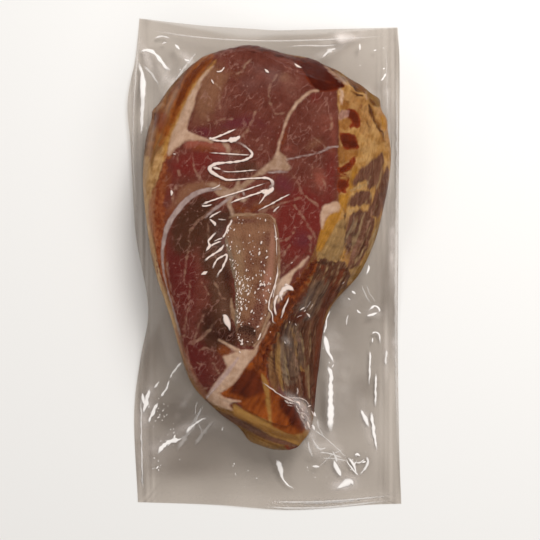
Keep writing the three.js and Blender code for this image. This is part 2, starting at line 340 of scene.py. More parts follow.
def from_photo(u, v, z):
    """The place at height z that shows at (u, v): to_photo turned round."""
    scale = MM_PER_PIXEL * (LENS_HEIGHT - z) / LENS_HEIGHT
    x = PHOTO_MIDDLE[0] + (u - PHOTO_SIDE / 2) * scale
    y = PHOTO_MIDDLE[1] - (v - PHOTO_SIDE / 2) * scale
    return np.stack([x, y, z], axis=-1)


def segment_gaps(path, u, v):
    """Distances from each place to each straight piece of a path, and where along each."""
    a, b = path[:-1, :2], path[1:, :2]
    way = b - a
    length = np.maximum((way**2).sum(1), 1e-9)
    du, dv = u[:, None] - a[:, 0], v[:, None] - a[:, 1]
    along = np.clip((du * way[:, 0] + dv * way[:, 1]) / length, 0, 1)
    return np.hypot(du - along * way[:, 0], dv - along * way[:, 1]), along


def near_box(path, u, v):
    """Which places are within FAR of the box round a path."""
    low, high = path[:, :2].min(0) - FAR, path[:, :2].max(0) + FAR
    return (u > low[0]) & (u < high[0]) & (v > low[1]) & (v < high[1])


def band_depth(bands, u, v, finer=4):
    """How far inside the nearest band each place is, in pixels, and below zero outside. A band
    is a smooth path of (u, v, half width)."""
    depth = np.full(u.shape, -FAR)
    for band in bands:
        path = open_curve(band, np.linspace(0, 1, (len(band) - 1) * finer + 1))
        near = near_box(path, u, v)
        gap, along = segment_gaps(path, u[near], v[near])
        width = mix(path[:-1, 2], path[1:, 2], along)
        depth[near] = np.maximum(depth[near], (width - gap).max(1, initial=-FAR))
    return depth


def region_depth(regions, u, v, finer=5):
    """The same for areas inside smooth closed outlines: inside where a line to the right
    crosses the outline an odd number of times."""
    depth = np.full(u.shape, -FAR)
    for outline in regions:
        path = closed_curve(outline, np.arange(len(outline) * finer + 1) / finer)
        near = near_box(path, u, v)
        un, vn = u[near], v[near]
        gap = segment_gaps(path, un, vn)[0].min(1, initial=FAR)
        a, b = path[:-1], path[1:]
        spans = (a[:, 1] > vn[:, None]) != (b[:, 1] > vn[:, None])
        rise = np.where(np.abs(b[:, 1] - a[:, 1]) < 1e-9, 1e-9, b[:, 1] - a[:, 1])
        cross = a[:, 0] + (vn[:, None] - a[:, 1]) * (b[:, 0] - a[:, 0]) / rise
        inside = (spans & (cross > un[:, None])).sum(1) % 2 == 1
        depth[near] = np.maximum(depth[near], np.where(inside, gap, -gap))
    return depth


def rumple(x, y, length, seed, waves=14, turn=None, fan=180):
    """Uneven waves, about -1 to 1: sines of random direction and phase, their lengths up to 1.6
    times `length` and down to as much less. With a turn, the crests run within `fan` degrees of
    that direction."""
    rng = np.random.default_rng(seed)
    total = np.zeros_like(x)
    for _ in range(waves):
        heading = rng.uniform(0, math.pi)
        if turn is not None:
            heading = math.radians(turn + 90 + rng.uniform(-fan, fan) / 2)
        size = length * 1.6 ** rng.uniform(-1, 1)
        phase = rng.uniform(0, 2 * math.pi)
        total += np.sin(2 * math.pi * (x * math.cos(heading) + y * math.sin(heading)) / size + phase)
    return total / math.sqrt(waves)


def make_piece(name, points, triangles, material, attributes):
    """A mesh object at the origin, in metres, shaded smooth, with float attributes by point."""
    mesh = bpy.data.meshes.new(name)
    mesh.from_pydata((points * MM).tolist(), [], triangles.tolist())
    mesh.polygons.foreach_set("use_smooth", np.ones(len(mesh.polygons), bool))
    for key, values in attributes.items():
        layer = mesh.attributes.new(key, "FLOAT", "POINT")
        layer.data.foreach_set("value", np.asarray(values, np.float32))
    mesh.materials.append(material)
    mesh.update()
    piece = bpy.data.objects.new(name, mesh)
    bpy.context.scene.collection.objects.link(piece)
    return piece


# What shows on the sawn face and the flanks, drawn in photo pixels. For each tissue its bands
# are smooth paths of (u, v, half width), and its regions smooth closed outlines of (u, v)
BANDS = {
    "smoked_core": [[(190, 68, 0.6), (184, 76, 1.2), (176, 86, 1.2), (168, 95, 0.8)]],
    "bridged_edge": [
        [(199, 60, 0.8), (192, 68, 2.2), (187, 74, 1.2)],
        [(185, 74, 1.5), (180, 83, 2.4), (176, 93, 2.6), (172, 104, 2.6), (168.5, 114, 2.2), (165, 124, 1.8),
         (161, 136, 1.8), (157, 150, 1.6), (153, 162, 1.2)], [(171, 88, 0.7), (164, 99, 1.2), (158, 108, 1)]],
    "bridged_tan": [
        [(150, 119, 1.2), (150.6, 130, 2.4), (149.4, 143, 2.2), (147.6, 156, 1.8), (146, 168, 1.2)],
        [(151, 111, 0.8), (155, 109.6, 1.6), (161, 104, 1.2)]],
    "tan_edge": [
        [(146, 158, 2), (146, 170, 3.8), (146, 182, 4.6), (145.4, 194, 3.6), (145, 207, 2.8),
         (145.6, 218, 2.6), (147.2, 229, 2.6), (150, 240, 2.6), (152.4, 252, 2), (154.8, 262, 1.6),
         (157, 272, 1.7), (160.2, 285, 2.3), (165, 300, 2.3), (170.4, 318, 1.9), (176, 336, 1.5),
         (181.4, 352, 1.2), (187.6, 368, 1)]],
    "veiled_edge": [
        [(175, 329, 0.8), (180, 342, 2), (185, 357, 2.6), (190, 371, 2.8), (196, 383, 2.8), (203, 394, 2.4),
         (209, 401, 1)]],
    "brown_rim": [
        [(156, 184, 1), (152.6, 193, 2.4), (151, 204, 3.2), (151.4, 218, 3.4), (153, 231, 2.6),
         (155.6, 244, 1.6), (157.4, 256, 0.8)]],
    "tan_fat": [
        [(164, 148, 2), (160, 158, 4.6), (156.2, 168, 5), (152.6, 178, 4.8), (149.4, 187, 4),
         (147.4, 196, 2.8)]],
    "yellow_edge": [
        [(215, 60, 0.6), (209, 68, 1.2), (202.4, 74, 1.6), (195.5, 83, 2.6), (189.5, 93, 3.2),
         (184.6, 104, 3.4), (179.4, 114.5, 3.4), (174.6, 124, 3.4), (170, 133, 3.6), (166.6, 142, 3.4),
         (164.6, 151, 2.4), (163, 159, 1)]],
    "brown_fat": [
        [(378, 118, 1), (382, 127, 2.2), (385, 138, 1.4)],
        [(344, 148, 0.8), (350, 145.5, 1.2), (356, 150, 0.8)],
        [(340.5, 88, 0.6), (345, 91, 2), (347.5, 95.5, 1.4)],
        [(366, 124, 0.8), (370.5, 129, 2), (369, 140, 1.4), (366, 150, 0.6)],
        [(345, 196, 0.8), (343, 208, 1.4), (339, 218, 1)],
        [(352, 150, 0.6), (349.6, 172, 1), (345, 200, 0.8)]],
    "olive_fat": [[(371, 220, 0.6), (369, 230, 1.6), (363, 244, 2.4), (356, 255, 2), (351, 263, 0.8)]],
    "olive_skin": [
        [(378.6, 217, 1.4), (377.6, 226, 2.6), (373.6, 243, 3.2), (367.6, 260, 3.2), (360.6, 272, 3),
         (355, 280, 2)]],
    "skin_shade": [
        [(344, 76.6, 0.8), (350, 79.6, 2.4), (356, 83.6, 3.2), (362, 88.2, 2.8), (366, 91.6, 1)],
        [(351, 90.6, 0.5), (357, 94, 1.2), (363, 95.6, 0.9)],
        [(370.6, 99, 0.8), (374, 103, 1.8), (376.4, 105.6, 1)],
        [(370.6, 105, 1), (372.2, 112, 2.2), (375, 118.6, 2.2), (379, 125, 1.2), (382, 133, 0.9),
         (385, 142, 0.6)]],
    "yellow_patch": [[(341, 258, 1), (346, 253.5, 2), (351, 249, 1)]],
    "grey_sinew": [[(343, 207, 0.5), (346, 216, 0.9), (346.6, 232, 0.9), (346, 247, 0.5)]],
    "pale_sinew": [
        [(356, 213, 0.4), (352.6, 223, 0.8), (350, 235, 0.8), (347, 246, 0.5)],
        [(283.6, 338, 0.8), (282.6, 350, 2), (283, 362, 2.6), (285.4, 374, 2.2), (288, 385, 1)],
        [(296, 330, 0.6), (300, 322, 1), (306, 314, 0.8)]],
    "tan_lean": [[(271, 344, 1), (271, 356, 2.2), (272, 368, 3), (273.5, 380, 3.4), (275.5, 390, 2.4)]],
    "tan_streak": [
        [(279, 334, 0.8), (278.4, 346, 1.6), (278, 358, 2), (279, 369.5, 2.4), (281, 380, 2.4),
         (284, 390, 1.2)], [(291.8, 326, 0.6), (295.2, 339.5, 0.9), (296.4, 352, 0.8), (298, 362, 0.4)],
        [(300, 366, 0.8), (301.6, 369.6, 1.3), (304, 371, 0.6)]],
    "brown_edge": [
        [(338, 292, 0.8), (330, 304, 1.8), (323, 318, 2.6), (320.5, 334, 3), (318.8, 350, 3), (317, 372, 2.8),
         (315.5, 392, 2.6), (314, 406, 1.6)],
        [(345, 269, 1.4), (339, 278, 3.4), (332, 290, 3.8), (326, 303, 3.4), (321, 315, 2)],
        [(319, 264, 2), (323, 268, 2), (326, 276, 1.2)], [(331, 264, 0.6), (329, 274, 1.4), (324, 284, 0.8)]],
    "dried_core": [[(303, 371, 0.6), (304, 384, 1.3), (304.6, 397, 0.8)]],
    "yellow_fat": [
        [(263, 376, 1), (266.3, 384, 2.4), (267.4, 394, 2.6), (268.5, 405, 2.2), (270, 416, 1.6),
         (270, 426, 1.6)]],
    "brown_layer": [
        [(205, 401, 1), (217, 412.5, 1.9), (232, 419.5, 2.6), (246, 426.6, 3.2), (258, 433, 3.2),
         (272, 439.5, 2.2), (285, 443, 1.8), (297, 447, 1.2)]],
    # painted shade: dark lines along crevices, cracks, slits and the edges between tissues
    "crevice_shade": [
        [(356, 93.6, 0.4), (359.5, 94.4, 1), (363, 95.6, 0.5)],
        [(351, 83, 0.5), (356, 87.5, 1.3), (361, 91, 0.7)],
        [(369.7, 104.6, 0.5), (371.2, 109.5, 1.2), (372.8, 114.5, 0.5)],
        [(374, 119, 0.5), (378, 126, 0.7), (383, 132, 0.6), (386, 142, 0.4)],
        [(368.5, 120, 0.6), (370, 127, 1), (370.5, 132, 0.5)],
        [(314.5, 296, 0.4), (309, 306.5, 0.8), (302, 318.5, 0.9), (299, 323, 0.4)],
        [(346, 209, 0.5), (345.6, 222, 0.6), (347, 236, 0.6), (346.6, 247, 0.4)],
        [(372, 226, 0.4), (368, 238, 0.9), (362, 250, 1.1), (357, 260, 0.6)],
        [(366, 214, 0.5), (363, 226, 0.8), (357.6, 240, 0.9), (353, 251, 0.5)],
        [(317, 262.5, 0.8), (327, 264.5, 1.1), (338, 262.6, 1), (344, 258, 0.6)],
        [(288, 376, 0.6), (293, 379, 1.8), (299, 376, 0.8)],
        [(153, 113, 0.6), (154, 116, 1), (153, 119, 0.5)],
        [(228, 219, 0.4), (236, 222.4, 1.1), (246, 221, 1.5), (254, 218.6, 1), (258, 217.5, 0.4)]],
    "rind": [
        [(211, 55, 2.4), (207, 60, 4.2), (199.5, 67, 5.2), (191, 76, 5.6), (184.5, 87, 5.2), (180.5, 97, 4.8),
         (176, 107, 4), (172.4, 117, 3.2), (168.4, 127, 2.6), (164, 136, 2), (160, 144, 1)]],
    "left_crust": [
        [(170, 151, 0.8), (167, 158, 1.6), (164.4, 166, 2.2), (161.4, 176, 3), (159, 188, 4),
         (158.8, 200, 4.8), (159, 214, 4.6), (158.6, 228, 3.8), (158, 242, 3.2), (158, 254, 2.6),
         (159, 266, 2.2), (161.4, 278, 1.4), (164.4, 290, 0.8)]],
    "crust_shade": [
        [(314, 263, 1), (309, 272, 2.4), (303, 281, 3), (297, 289, 2.6), (292, 298, 2), (288, 307, 1)],
        [(304, 293, 1), (301, 300, 1.8), (297, 306, 1)],
        [(276, 330, 0.8), (271, 342, 1.6), (266, 354, 1.4), (263, 364, 0.8)]],
    "dried_patch": [
        [(338, 175.5, 0.8), (343, 176, 1.2), (347, 173.6, 0.5)],
        [(361, 101, 0.4), (362.5, 104.5, 0.9), (360.6, 108, 0.4)],
        [(286, 447, 1), (291, 449.5, 2), (297, 449, 1.4)]],
    "top_rim": [
        [(212, 52, 1), (222, 48.4, 1), (240, 46, 1.2), (255, 46.4, 2), (266, 49.8, 2.4), (280, 54, 2.6),
         (290, 57, 2.6), (300, 59.6, 2.8), (312, 60, 2.4), (322, 61.6, 1.4), (334, 70, 0.8)]],
    "bone_sheath": [
        [(229, 217.5, 0.8), (235, 215.6, 1.6), (245, 215.4, 2), (256, 215.2, 2), (265, 215.6, 2),
         (271.4, 218.6, 2.2), (274.8, 225, 2.2), (276.6, 236, 2), (278, 250, 1.8), (278.6, 264, 1.8),
         (278, 278, 1.8), (275.6, 291, 1.8), (272.4, 304, 1.8), (268.6, 317, 1.8), (263.6, 328, 1.8),
         (259, 338, 1.6), (254, 346, 1.4)],
        [(231, 299, 0.8), (232.4, 308, 2), (234.6, 318, 2.2), (236.6, 326, 1)]],
    "dull_fat": [
        [(223, 143, 0.8), (227.6, 147, 2), (228, 153, 0.8)],
        [(239, 179, 0.6), (237, 186, 1.8), (232, 194, 3), (229, 203, 2.2), (232, 214, 1.4)],
        [(207, 184, 0.8), (214, 185.6, 2.2), (222, 188, 2.2), (230, 191, 1)],
        [(287, 160, 1.2), (284, 157, 1.4), (280, 154, 1)], [(236, 197, 1), (243, 200, 1.4), (248, 197, 0.8)]],
    "white_fat": [
        [(318, 90.5, 0.7), (312, 91, 1.1), (304.6, 95.6, 1.5), (298, 102, 1.5), (293, 108.5, 1.3),
         (288.6, 115.6, 1), (285, 125, 0.8), (281.8, 135, 0.7), (278.8, 145, 0.8), (277.5, 154, 1.6)],
        [(219, 340.5, 0.6), (228, 345, 0.9), (238, 351, 1.8)],
        [(254, 354, 2.2), (258, 346, 1.4), (264, 336, 1.1), (270, 323, 0.8)],
        [(340.8, 88, 0.8), (342.4, 93, 1.8), (342, 99, 1.8), (341.4, 104, 0.8)]],
    "pale_seam": [[(238, 358.5, 0.8), (230, 369, 1.9), (219, 383, 2), (212, 391.5, 1.5), (206.5, 398, 0.8)]],
    # painted sheen: pale lines where the film creases over the flank
    "film_crease_sheen": [
        [(325, 65.6, 0.4), (333, 71.6, 0.8), (341, 77.6, 0.9), (347.6, 84, 0.7)],
        [(328, 70, 0.3), (336, 76, 0.6), (344, 82.6, 0.5)], [(333, 75.6, 0.3), (341, 82, 0.5)],
        [(367, 91, 0.6), (366.8, 95, 0.9), (367.4, 99, 0.5)]],
    "membrane": [
        [(221, 188.6, 0.8), (206, 190, 1.9), (194.6, 194, 2.4), (184.4, 202, 2.5), (177.2, 210.9, 2.5),
         (170.6, 219.8, 2.5), (166, 230, 2.2), (163.4, 241, 1.9), (162, 252, 1.4), (162.2, 264, 1.1),
         (164, 278, 0.9), (167, 291, 0.9), (171, 305, 1), (175, 320, 0.9), (179, 335, 0.6)],
        [(287, 159.5, 0.7), (298, 157, 0.6), (309, 155, 0.6), (318, 153, 0.6), (325, 150, 0.8),
         (329, 147.5, 0.8), (339, 146.5, 0.5)], [(268, 172.5, 0.5), (278, 171.5, 1), (288, 172, 0.6)],
        [(242, 189, 0.8), (244, 195, 1)],
        [(236, 193, 0.5), (228, 199, 1.2), (219, 206, 1.5), (212, 211.6, 1.3), (205, 218, 0.6)]],
    "strand": [
        [(384, 165, 0.7), (379, 183, 0.9), (373, 193, 0.9), (367, 203, 0.8), (358, 209, 0.7),
         (350, 211, 1.2)], [(380.4, 182, 0.4), (379.4, 200, 0.5), (376, 209, 0.6), (372, 216, 0.5)],
        [(349.6, 190.4, 1), (358, 187.6, 1.8), (367.7, 183.2, 1), (372, 176, 0.5)],
        [(354, 217, 0.6), (350.6, 228.6, 1), (347.6, 241, 0.7)],
        [(358, 216, 0.4), (355.4, 229, 0.7), (352.6, 243, 0.6)],
        [(364.6, 213, 0.4), (361, 228, 0.6), (355.6, 243, 0.7), (351.6, 251.5, 0.6)],
        [(371.6, 225, 0.5), (366.6, 237, 0.8), (359.4, 249, 0.9), (353.4, 261, 0.7)],
        [(376.4, 229, 0.5), (373.6, 236.6, 0.9), (370, 243.6, 0.6)],
        [(366.6, 247, 0.5), (361, 255.6, 0.9), (353.6, 264.6, 0.7), (349, 268, 0.5)],
        [(374, 241, 0.4), (371.4, 248.4, 0.9), (368, 254, 0.5)],
        [(322, 256, 0.4), (321, 266, 0.6), (318, 276, 0.4)],
        [(328, 254, 0.5), (328, 264, 0.8), (325, 276, 0.7), (321, 286, 0.4)],
        [(334, 253, 0.5), (334, 265, 0.8), (331, 276, 0.5)],
        [(340, 262, 0.4), (338, 274, 0.6), (333, 286, 0.5)],
        [(346, 268, 0.4), (343, 277, 0.6), (337, 287, 0.5)],
        [(283, 331, 0.6), (287, 325.6, 0.9), (292, 319, 0.7), (298, 313, 0.4)],
        [(284, 340, 0.6), (285.6, 352, 0.9), (287, 366, 0.8), (290, 380, 0.6)],
        [(300, 330, 0.4), (303, 344, 0.7), (305, 360, 0.6), (307, 380, 0.5)],
        [(311, 322, 0.4), (310, 336, 0.7), (311, 352, 0.5)],
        [(309, 366, 0.4), (309, 382, 0.7), (310, 398, 0.5)]],
    "vein": [
        [(278, 72.7, 0.5), (271.6, 84, 0.9), (268.5, 93, 0.8), (270.7, 105, 0.7), (276, 113, 0.9),
         (285, 113, 0.5)], [(249.6, 60, 0.6), (244, 66.4, 0.6), (241.6, 71.3, 0.6), (235.4, 74, 0.5)],
        [(213, 82.5, 0.5), (221, 89.6, 0.8), (219, 96, 0.6), (219.7, 108.4, 0.6)],
        [(206, 115, 0.4), (208.4, 119, 0.7), (207, 122.5, 0.5)],
        [(214.8, 122.7, 0.4), (223.7, 119, 0.5), (232.7, 119, 0.4)],
        [(255, 112, 1.4), (253, 119, 0.8), (249, 128, 0.8), (243.4, 135, 1.2)],
        [(327, 149, 0.7), (322.5, 144, 0.6), (317, 140, 0.5), (312.7, 137, 0.4)],
        [(291, 174, 0.8), (297, 180, 0.6), (300, 188, 0.6), (303, 194, 1.2), (308, 198.5, 0.9),
         (314, 202, 0.8), (319, 206, 0.8)],
        [(303, 197, 0.6), (287, 202, 0.8), (269, 208, 0.9), (260, 212, 0.8)],
        [(294, 205.4, 0.4), (300, 212.5, 0.5), (304.6, 218.8, 0.7), (310, 227.7, 1), (316, 237.5, 0.9)],
        [(308, 236, 1), (311, 238, 1), (311, 253, 0.6)],
        [(294, 225, 0.5), (294.8, 230.4, 0.6), (286.8, 239.3, 0.8), (278.8, 241, 0.6)],
        [(290, 245, 0.5), (284, 253, 0.8), (279.6, 262, 0.6)],
        [(297, 258, 0.5), (290, 264, 0.9), (282, 272, 0.8)],
        [(227, 203.6, 1.2), (216.6, 207, 1.1), (207.7, 214, 1.1), (198, 221, 1), (191.6, 229.5, 1),
         (189, 237.5, 0.9), (190, 245.5, 0.9), (187.5, 254, 0.7), (186, 262, 0.7), (184.5, 272, 0.6),
         (183, 283, 0.4)], [(166.6, 262, 0.5), (168, 276, 0.8), (170.6, 290, 0.9), (173.6, 304, 0.7)],
        [(207.7, 220, 0.4), (208.6, 232.5, 0.5), (210.4, 246, 0.5), (215.7, 258, 0.3)],
        [(213, 280, 0.4), (217.5, 287, 0.7), (221, 296, 0.7), (225.5, 299, 0.6)],
        [(201.4, 281.6, 0.4), (204, 285, 0.6), (208.6, 294, 0.4)],
        [(192.5, 153.6, 0.5), (194, 168, 0.5), (198.8, 176.8, 1.2), (202, 181, 0.6)],
        [(177, 156, 0.8), (177.6, 161, 0.8)], [(178, 170, 0.6), (179, 175, 1.3)],
        [(187, 183.5, 0.5), (174.6, 189.3, 0.5), (172.9, 200, 0.4)],
        [(190.7, 280, 0.4), (189, 292, 0.5), (188, 308.6, 0.6), (185.5, 317.5, 0.7), (184, 330, 0.6),
         (183.6, 337, 0.6), (180, 340.7, 0.5)],
        [(204.6, 314, 0.6), (201, 321, 0.7), (198, 328, 0.6), (195.5, 335, 0.7), (193, 341, 0.7),
         (187.5, 346, 0.6), (187, 354, 0.5)],
        [(215.7, 323, 0.7), (210.5, 329, 1.1), (205, 335, 1.3), (198.5, 340, 1.3), (192, 344.5, 0.8)],
        [(187, 352, 1), (187.5, 362, 1.9), (190, 372, 1.8), (195, 382, 1.2)],
        [(199.6, 350.5, 0.5), (206, 348.7, 0.8), (214, 351.4, 0.5)],
        [(197, 363, 0.5), (201, 364.5, 0.8), (205, 362, 0.5)],
        [(213, 364, 0.6), (216, 369, 1.4), (219, 374, 0.8)],
        [(200.5, 387, 0.5), (203, 390, 0.7), (207.7, 388, 0.6)],
        [(289.5, 343, 0.4), (294, 354, 0.5), (297.5, 367, 0.5), (301, 383, 0.5), (304, 398, 0.5)],
        [(299, 332, 0.8), (300, 342, 1.2), (299, 352, 0.8)],
        [(322, 178, 0.5), (325, 184, 0.8), (326, 190, 0.5)], [(312.7, 167, 0.4), (311.8, 177, 0.6)],
        [(331, 115, 0.4), (332, 124, 0.7), (330, 132, 0.4)],
        [(352, 240, 0.4), (348, 252, 0.6), (345, 264, 0.4)],
        [(362, 226, 0.4), (357, 242, 0.6), (352, 256, 0.5)],
        [(374, 208, 0.4), (368, 226, 0.6), (360, 246, 0.6), (354, 260, 0.4)]],
}
REGIONS = {
    "smoked_edge": [
        [(151, 111), (158, 104), (166, 94), (173, 85), (180, 78), (186, 73), (190, 66), (197, 59), (203, 55),
         (203, 62), (196, 71), (188, 80), (180, 92), (174, 104), (168, 117), (163, 130), (157, 143),
         (151, 156), (147, 168), (145, 158), (147, 143), (150, 128)]],
    "smoked_core": [
        [(154, 115), (159, 113), (165, 112.5), (168, 116), (167, 123), (163, 130), (160, 134), (157, 128)]],
    "flank_fat": [
        [(339, 86), (344, 82), (352, 84), (368, 92), (380, 104), (389, 120), (392, 140), (392, 160),
         (389, 190), (383, 214), (376, 238), (367, 258), (356, 280), (345, 285), (334, 276), (322, 266),
         (318, 262), (318, 246), (322, 234), (330, 216), (340, 203), (340.5, 170), (339.5, 120)]],
    "brown_fat": [
        [(346, 90), (353, 91), (361, 97), (369, 104), (373, 114), (372, 126), (366, 134), (361, 130),
         (357, 118), (351, 108), (344, 104), (340.5, 98)],
        [(380, 104), (386, 112), (390, 124), (389, 140), (385, 138), (382, 124), (378, 112)]],
    "olive_fat": [
        [(345, 219), (346, 232), (345, 247), (341, 259.5), (333, 261.6), (320.5, 263.6), (317.6, 256),
         (320.5, 246.5), (325, 240), (330, 232), (336, 223)],
        [(348.6, 266.5), (357, 264), (362, 268), (357.5, 279), (350, 283), (346, 276)]],
    "olive_skin": [
        [(339, 72), (347.5, 74), (356, 78.6), (362.5, 83.6), (369, 88.6), (370, 92), (366.5, 93.5), (362, 92),
         (357, 88), (351, 83.5), (344, 79)],
        [(368.6, 91.6), (374, 91), (382, 96.4), (383, 102), (379, 107), (373, 105), (369.5, 99)]],
    "brown_patch": [
        [(339.5, 102), (345, 100.5), (349, 102), (349, 106), (346, 110), (341, 110)],
        [(340, 120), (345, 118.5), (352, 118), (351.5, 124), (347.5, 129), (343, 130.5), (340, 127)],
        [(338.5, 146), (343, 148), (350, 151), (357, 149), (358, 154), (352, 160), (345, 162), (339, 164)]],
    "yellow_patch": [
        [(340, 193), (343, 194), (347, 192), (350, 180), (352, 170), (357, 165), (358, 176), (353, 188),
         (348, 200), (346, 214), (341, 207), (339, 200)],
        [(342, 208), (340, 217), (335, 226), (330.5, 235), (326, 243), (321, 252), (317.2, 250), (318.6, 240),
         (321, 229), (325, 219.5), (331, 213)],
        [(381.5, 114), (385.5, 116), (389, 122), (390, 130), (385.5, 130), (382, 123)]],
    "flank_lean": [
        [(364, 167), (373, 160), (384, 152.5), (384.6, 165), (382, 177), (377.7, 184), (372, 190),
         (368, 187.6), (366.5, 181.4), (360.5, 182.3), (354, 187.4), (352.6, 182.3), (357, 174)],
        [(348.6, 204), (352, 196.4), (358, 192), (366, 190.6), (371.6, 191.6), (372.6, 198), (370, 204),
         (363, 205), (356, 206.4), (350, 207.6)],
        [(388.5, 168), (387.8, 184), (386.5, 196), (382, 211), (378.4, 218.6), (374, 216.4), (370, 214.6),
         (369.6, 209), (373, 200.4), (377.7, 191.3), (381, 181)],
        [(347.7, 219.5), (351, 213.6), (358, 211.4), (366, 210), (371.4, 216), (377.4, 219.5), (376, 229),
         (371.6, 244), (366, 256), (358.6, 266), (348, 268), (348.6, 258), (351, 250), (345.6, 251.5),
         (346.2, 237.7)]],
    "hollow_lean": [
        [(318, 262), (322, 258), (335, 262), (345, 262), (349, 270), (349, 281), (340, 293), (330, 308),
         (323, 322), (321, 335), (321, 356), (319, 378), (317.5, 398), (317, 413), (313, 411), (306, 404),
         (297, 401), (288, 396), (280, 388), (272, 382), (268, 376), (268, 360), (270, 345), (276, 335),
         (284, 322), (291, 310), (298, 300), (305, 292), (311, 282), (314, 270)]],
    "grey_sinew": [
        [(308, 291), (313, 284), (322, 280), (330, 283), (328, 296), (321, 307), (313, 316), (303, 322),
         (297, 318), (299, 308), (303, 300)],
        [(284, 330), (291, 324), (298, 328), (303, 340), (304, 356), (301, 372), (296, 382), (289, 384),
         (285, 372), (283, 356), (281.5, 343)]],
    "orange_lean": [
        [(255, 363), (260, 368), (264.5, 364), (267, 370), (268.5, 380), (273, 391), (281, 395), (289, 397.5),
         (297, 401), (305, 406), (309, 416), (310, 430), (302, 437), (290, 436), (277, 433), (264, 424),
         (252, 418), (243, 412), (238, 403), (228, 399), (218, 396), (221, 390.5), (229, 385), (237, 376),
         (243, 368), (249, 363)]],
    "dried_core": [
        [(238, 379), (246, 371), (254, 369), (261, 375), (265, 385), (265, 393), (256, 396), (247, 397),
         (238, 396), (230, 394), (231, 388)],
        [(281, 398), (290, 401), (299, 404), (305, 410), (308, 420), (304, 429), (297, 430), (291, 423),
         (284, 414), (279, 404)], [(291, 319.5), (296, 313), (303, 311), (307, 315), (301, 320), (295, 321)]],
    "yellow_fat": [
        [(234, 404), (244.8, 411.4), (258, 417), (265, 419.4), (272, 426), (283, 431.6), (291, 434.6),
         (300, 434.6), (309.6, 430), (308, 439.7), (303, 446), (297.8, 446), (283, 441.4), (270.5, 436.4),
         (258, 429), (246.4, 422.3), (234, 416)]],
    "slab_fat": [
        [(236, 420), (250, 431), (258, 437), (274.6, 443), (288, 446), (286, 453), (264, 452), (246, 448),
         (238, 438)]],
    "rim_crust": [
        [(317, 261), (315, 272), (309, 282), (306, 291), (301, 300), (296, 308), (288, 318), (280, 331),
         (274, 342), (270, 352), (267, 362), (266, 372), (259, 372), (254, 363), (256, 352), (263, 342),
         (269, 330), (275, 316), (281, 303), (288, 295), (294, 285), (300, 277), (308, 268), (313, 262)]],
    "dried_patch": [
        [(346.6, 109), (353, 108.6), (358.6, 113.6), (360.6, 120), (360, 126.6), (356.6, 128), (353.4, 126.8),
         (349.4, 130), (347.8, 129.6), (350.6, 124.6), (351.4, 120), (347.4, 118), (347.6, 113)],
        [(340, 128), (344, 132.6), (349.6, 132.6), (356, 136), (357.6, 142), (359.4, 147.6), (353.6, 149),
         (347.6, 149.8), (343, 147), (340.4, 141)],
        [(355.6, 156), (355, 162), (351.6, 168), (347, 171.6), (341, 174), (338, 173.6), (338.4, 168),
         (343, 166.4), (347.6, 163), (351, 158.6)],
        [(337.6, 181.6), (341, 178.4), (346, 179.6), (349, 178), (348.6, 185), (345.6, 189.6), (345.8, 192.6),
         (341, 193.2), (338.6, 191.4)]],
    # the dried facet sloping away at the butt: dark crust, darkened further by painted shade
    "dark_facet": [
        [(298, 62), (303, 58), (310, 56), (317, 58), (326, 66), (335, 74.4), (343, 82), (345, 86.6),
         (338, 89.4), (330, 90.8), (321, 91.4), (316, 89), (310, 82.5), (306, 76), (301.6, 69)]],
    "dull_fat": [
        [(277, 153), (282, 155), (287, 162), (290.5, 167.5), (288, 170), (278, 169.8), (268, 171.5),
         (258, 177), (250, 184), (243, 190), (236, 195), (228, 198), (219, 196), (214, 191.5), (221, 190),
         (230, 189), (240, 184.5), (250, 178), (259, 171.5), (266, 165), (271.5, 160)]],
    "white_fat": [
        [(214, 65), (208, 72), (202, 80), (199.4, 86), (196, 94), (194, 103), (191, 113), (188, 122),
         (186.8, 130), (192, 133), (200, 136), (208, 138.5), (213, 140), (212, 142.5), (203, 140.4),
         (194, 140), (184.4, 141.4), (178, 146), (172.6, 150.4), (168.4, 155), (167.4, 150), (169, 140),
         (172.8, 130), (177.4, 120.5), (182, 109.5), (187, 98.5), (192.4, 89), (198.6, 79), (206, 70)],
        [(322, 208), (328.6, 204.4), (336.6, 201.2), (340, 206), (338.4, 211.6), (331.4, 212.8),
         (325.6, 219.5), (321.8, 229), (320.6, 219)],
        [(309, 257), (303, 266), (294, 273.5), (291, 281), (288, 290), (283, 297), (278, 303), (276, 297),
         (277, 288), (280, 280), (289, 273), (298, 266), (304, 260)],
        [(223, 356.6), (230, 354.6), (238, 351.4), (246, 350), (254, 350), (259.6, 345), (256.6, 353),
         (250.6, 361.4), (243.6, 370.4), (235.6, 381.4), (225.6, 390.4), (216, 395), (206.4, 398),
         (211, 389.5), (217.4, 381), (223, 373.4), (227.4, 367), (224.6, 362)],
        [(206, 398), (212, 393.6), (219, 393), (224, 398), (241, 401.5), (233, 403.4), (228.6, 405.4),
         (232, 411), (221, 408), (212, 404)]],
    "pink_film": [[(339.6, 111.4), (344, 110.4), (349.6, 111), (348.4, 115.6), (344, 118.6), (339.8, 119)]],
}
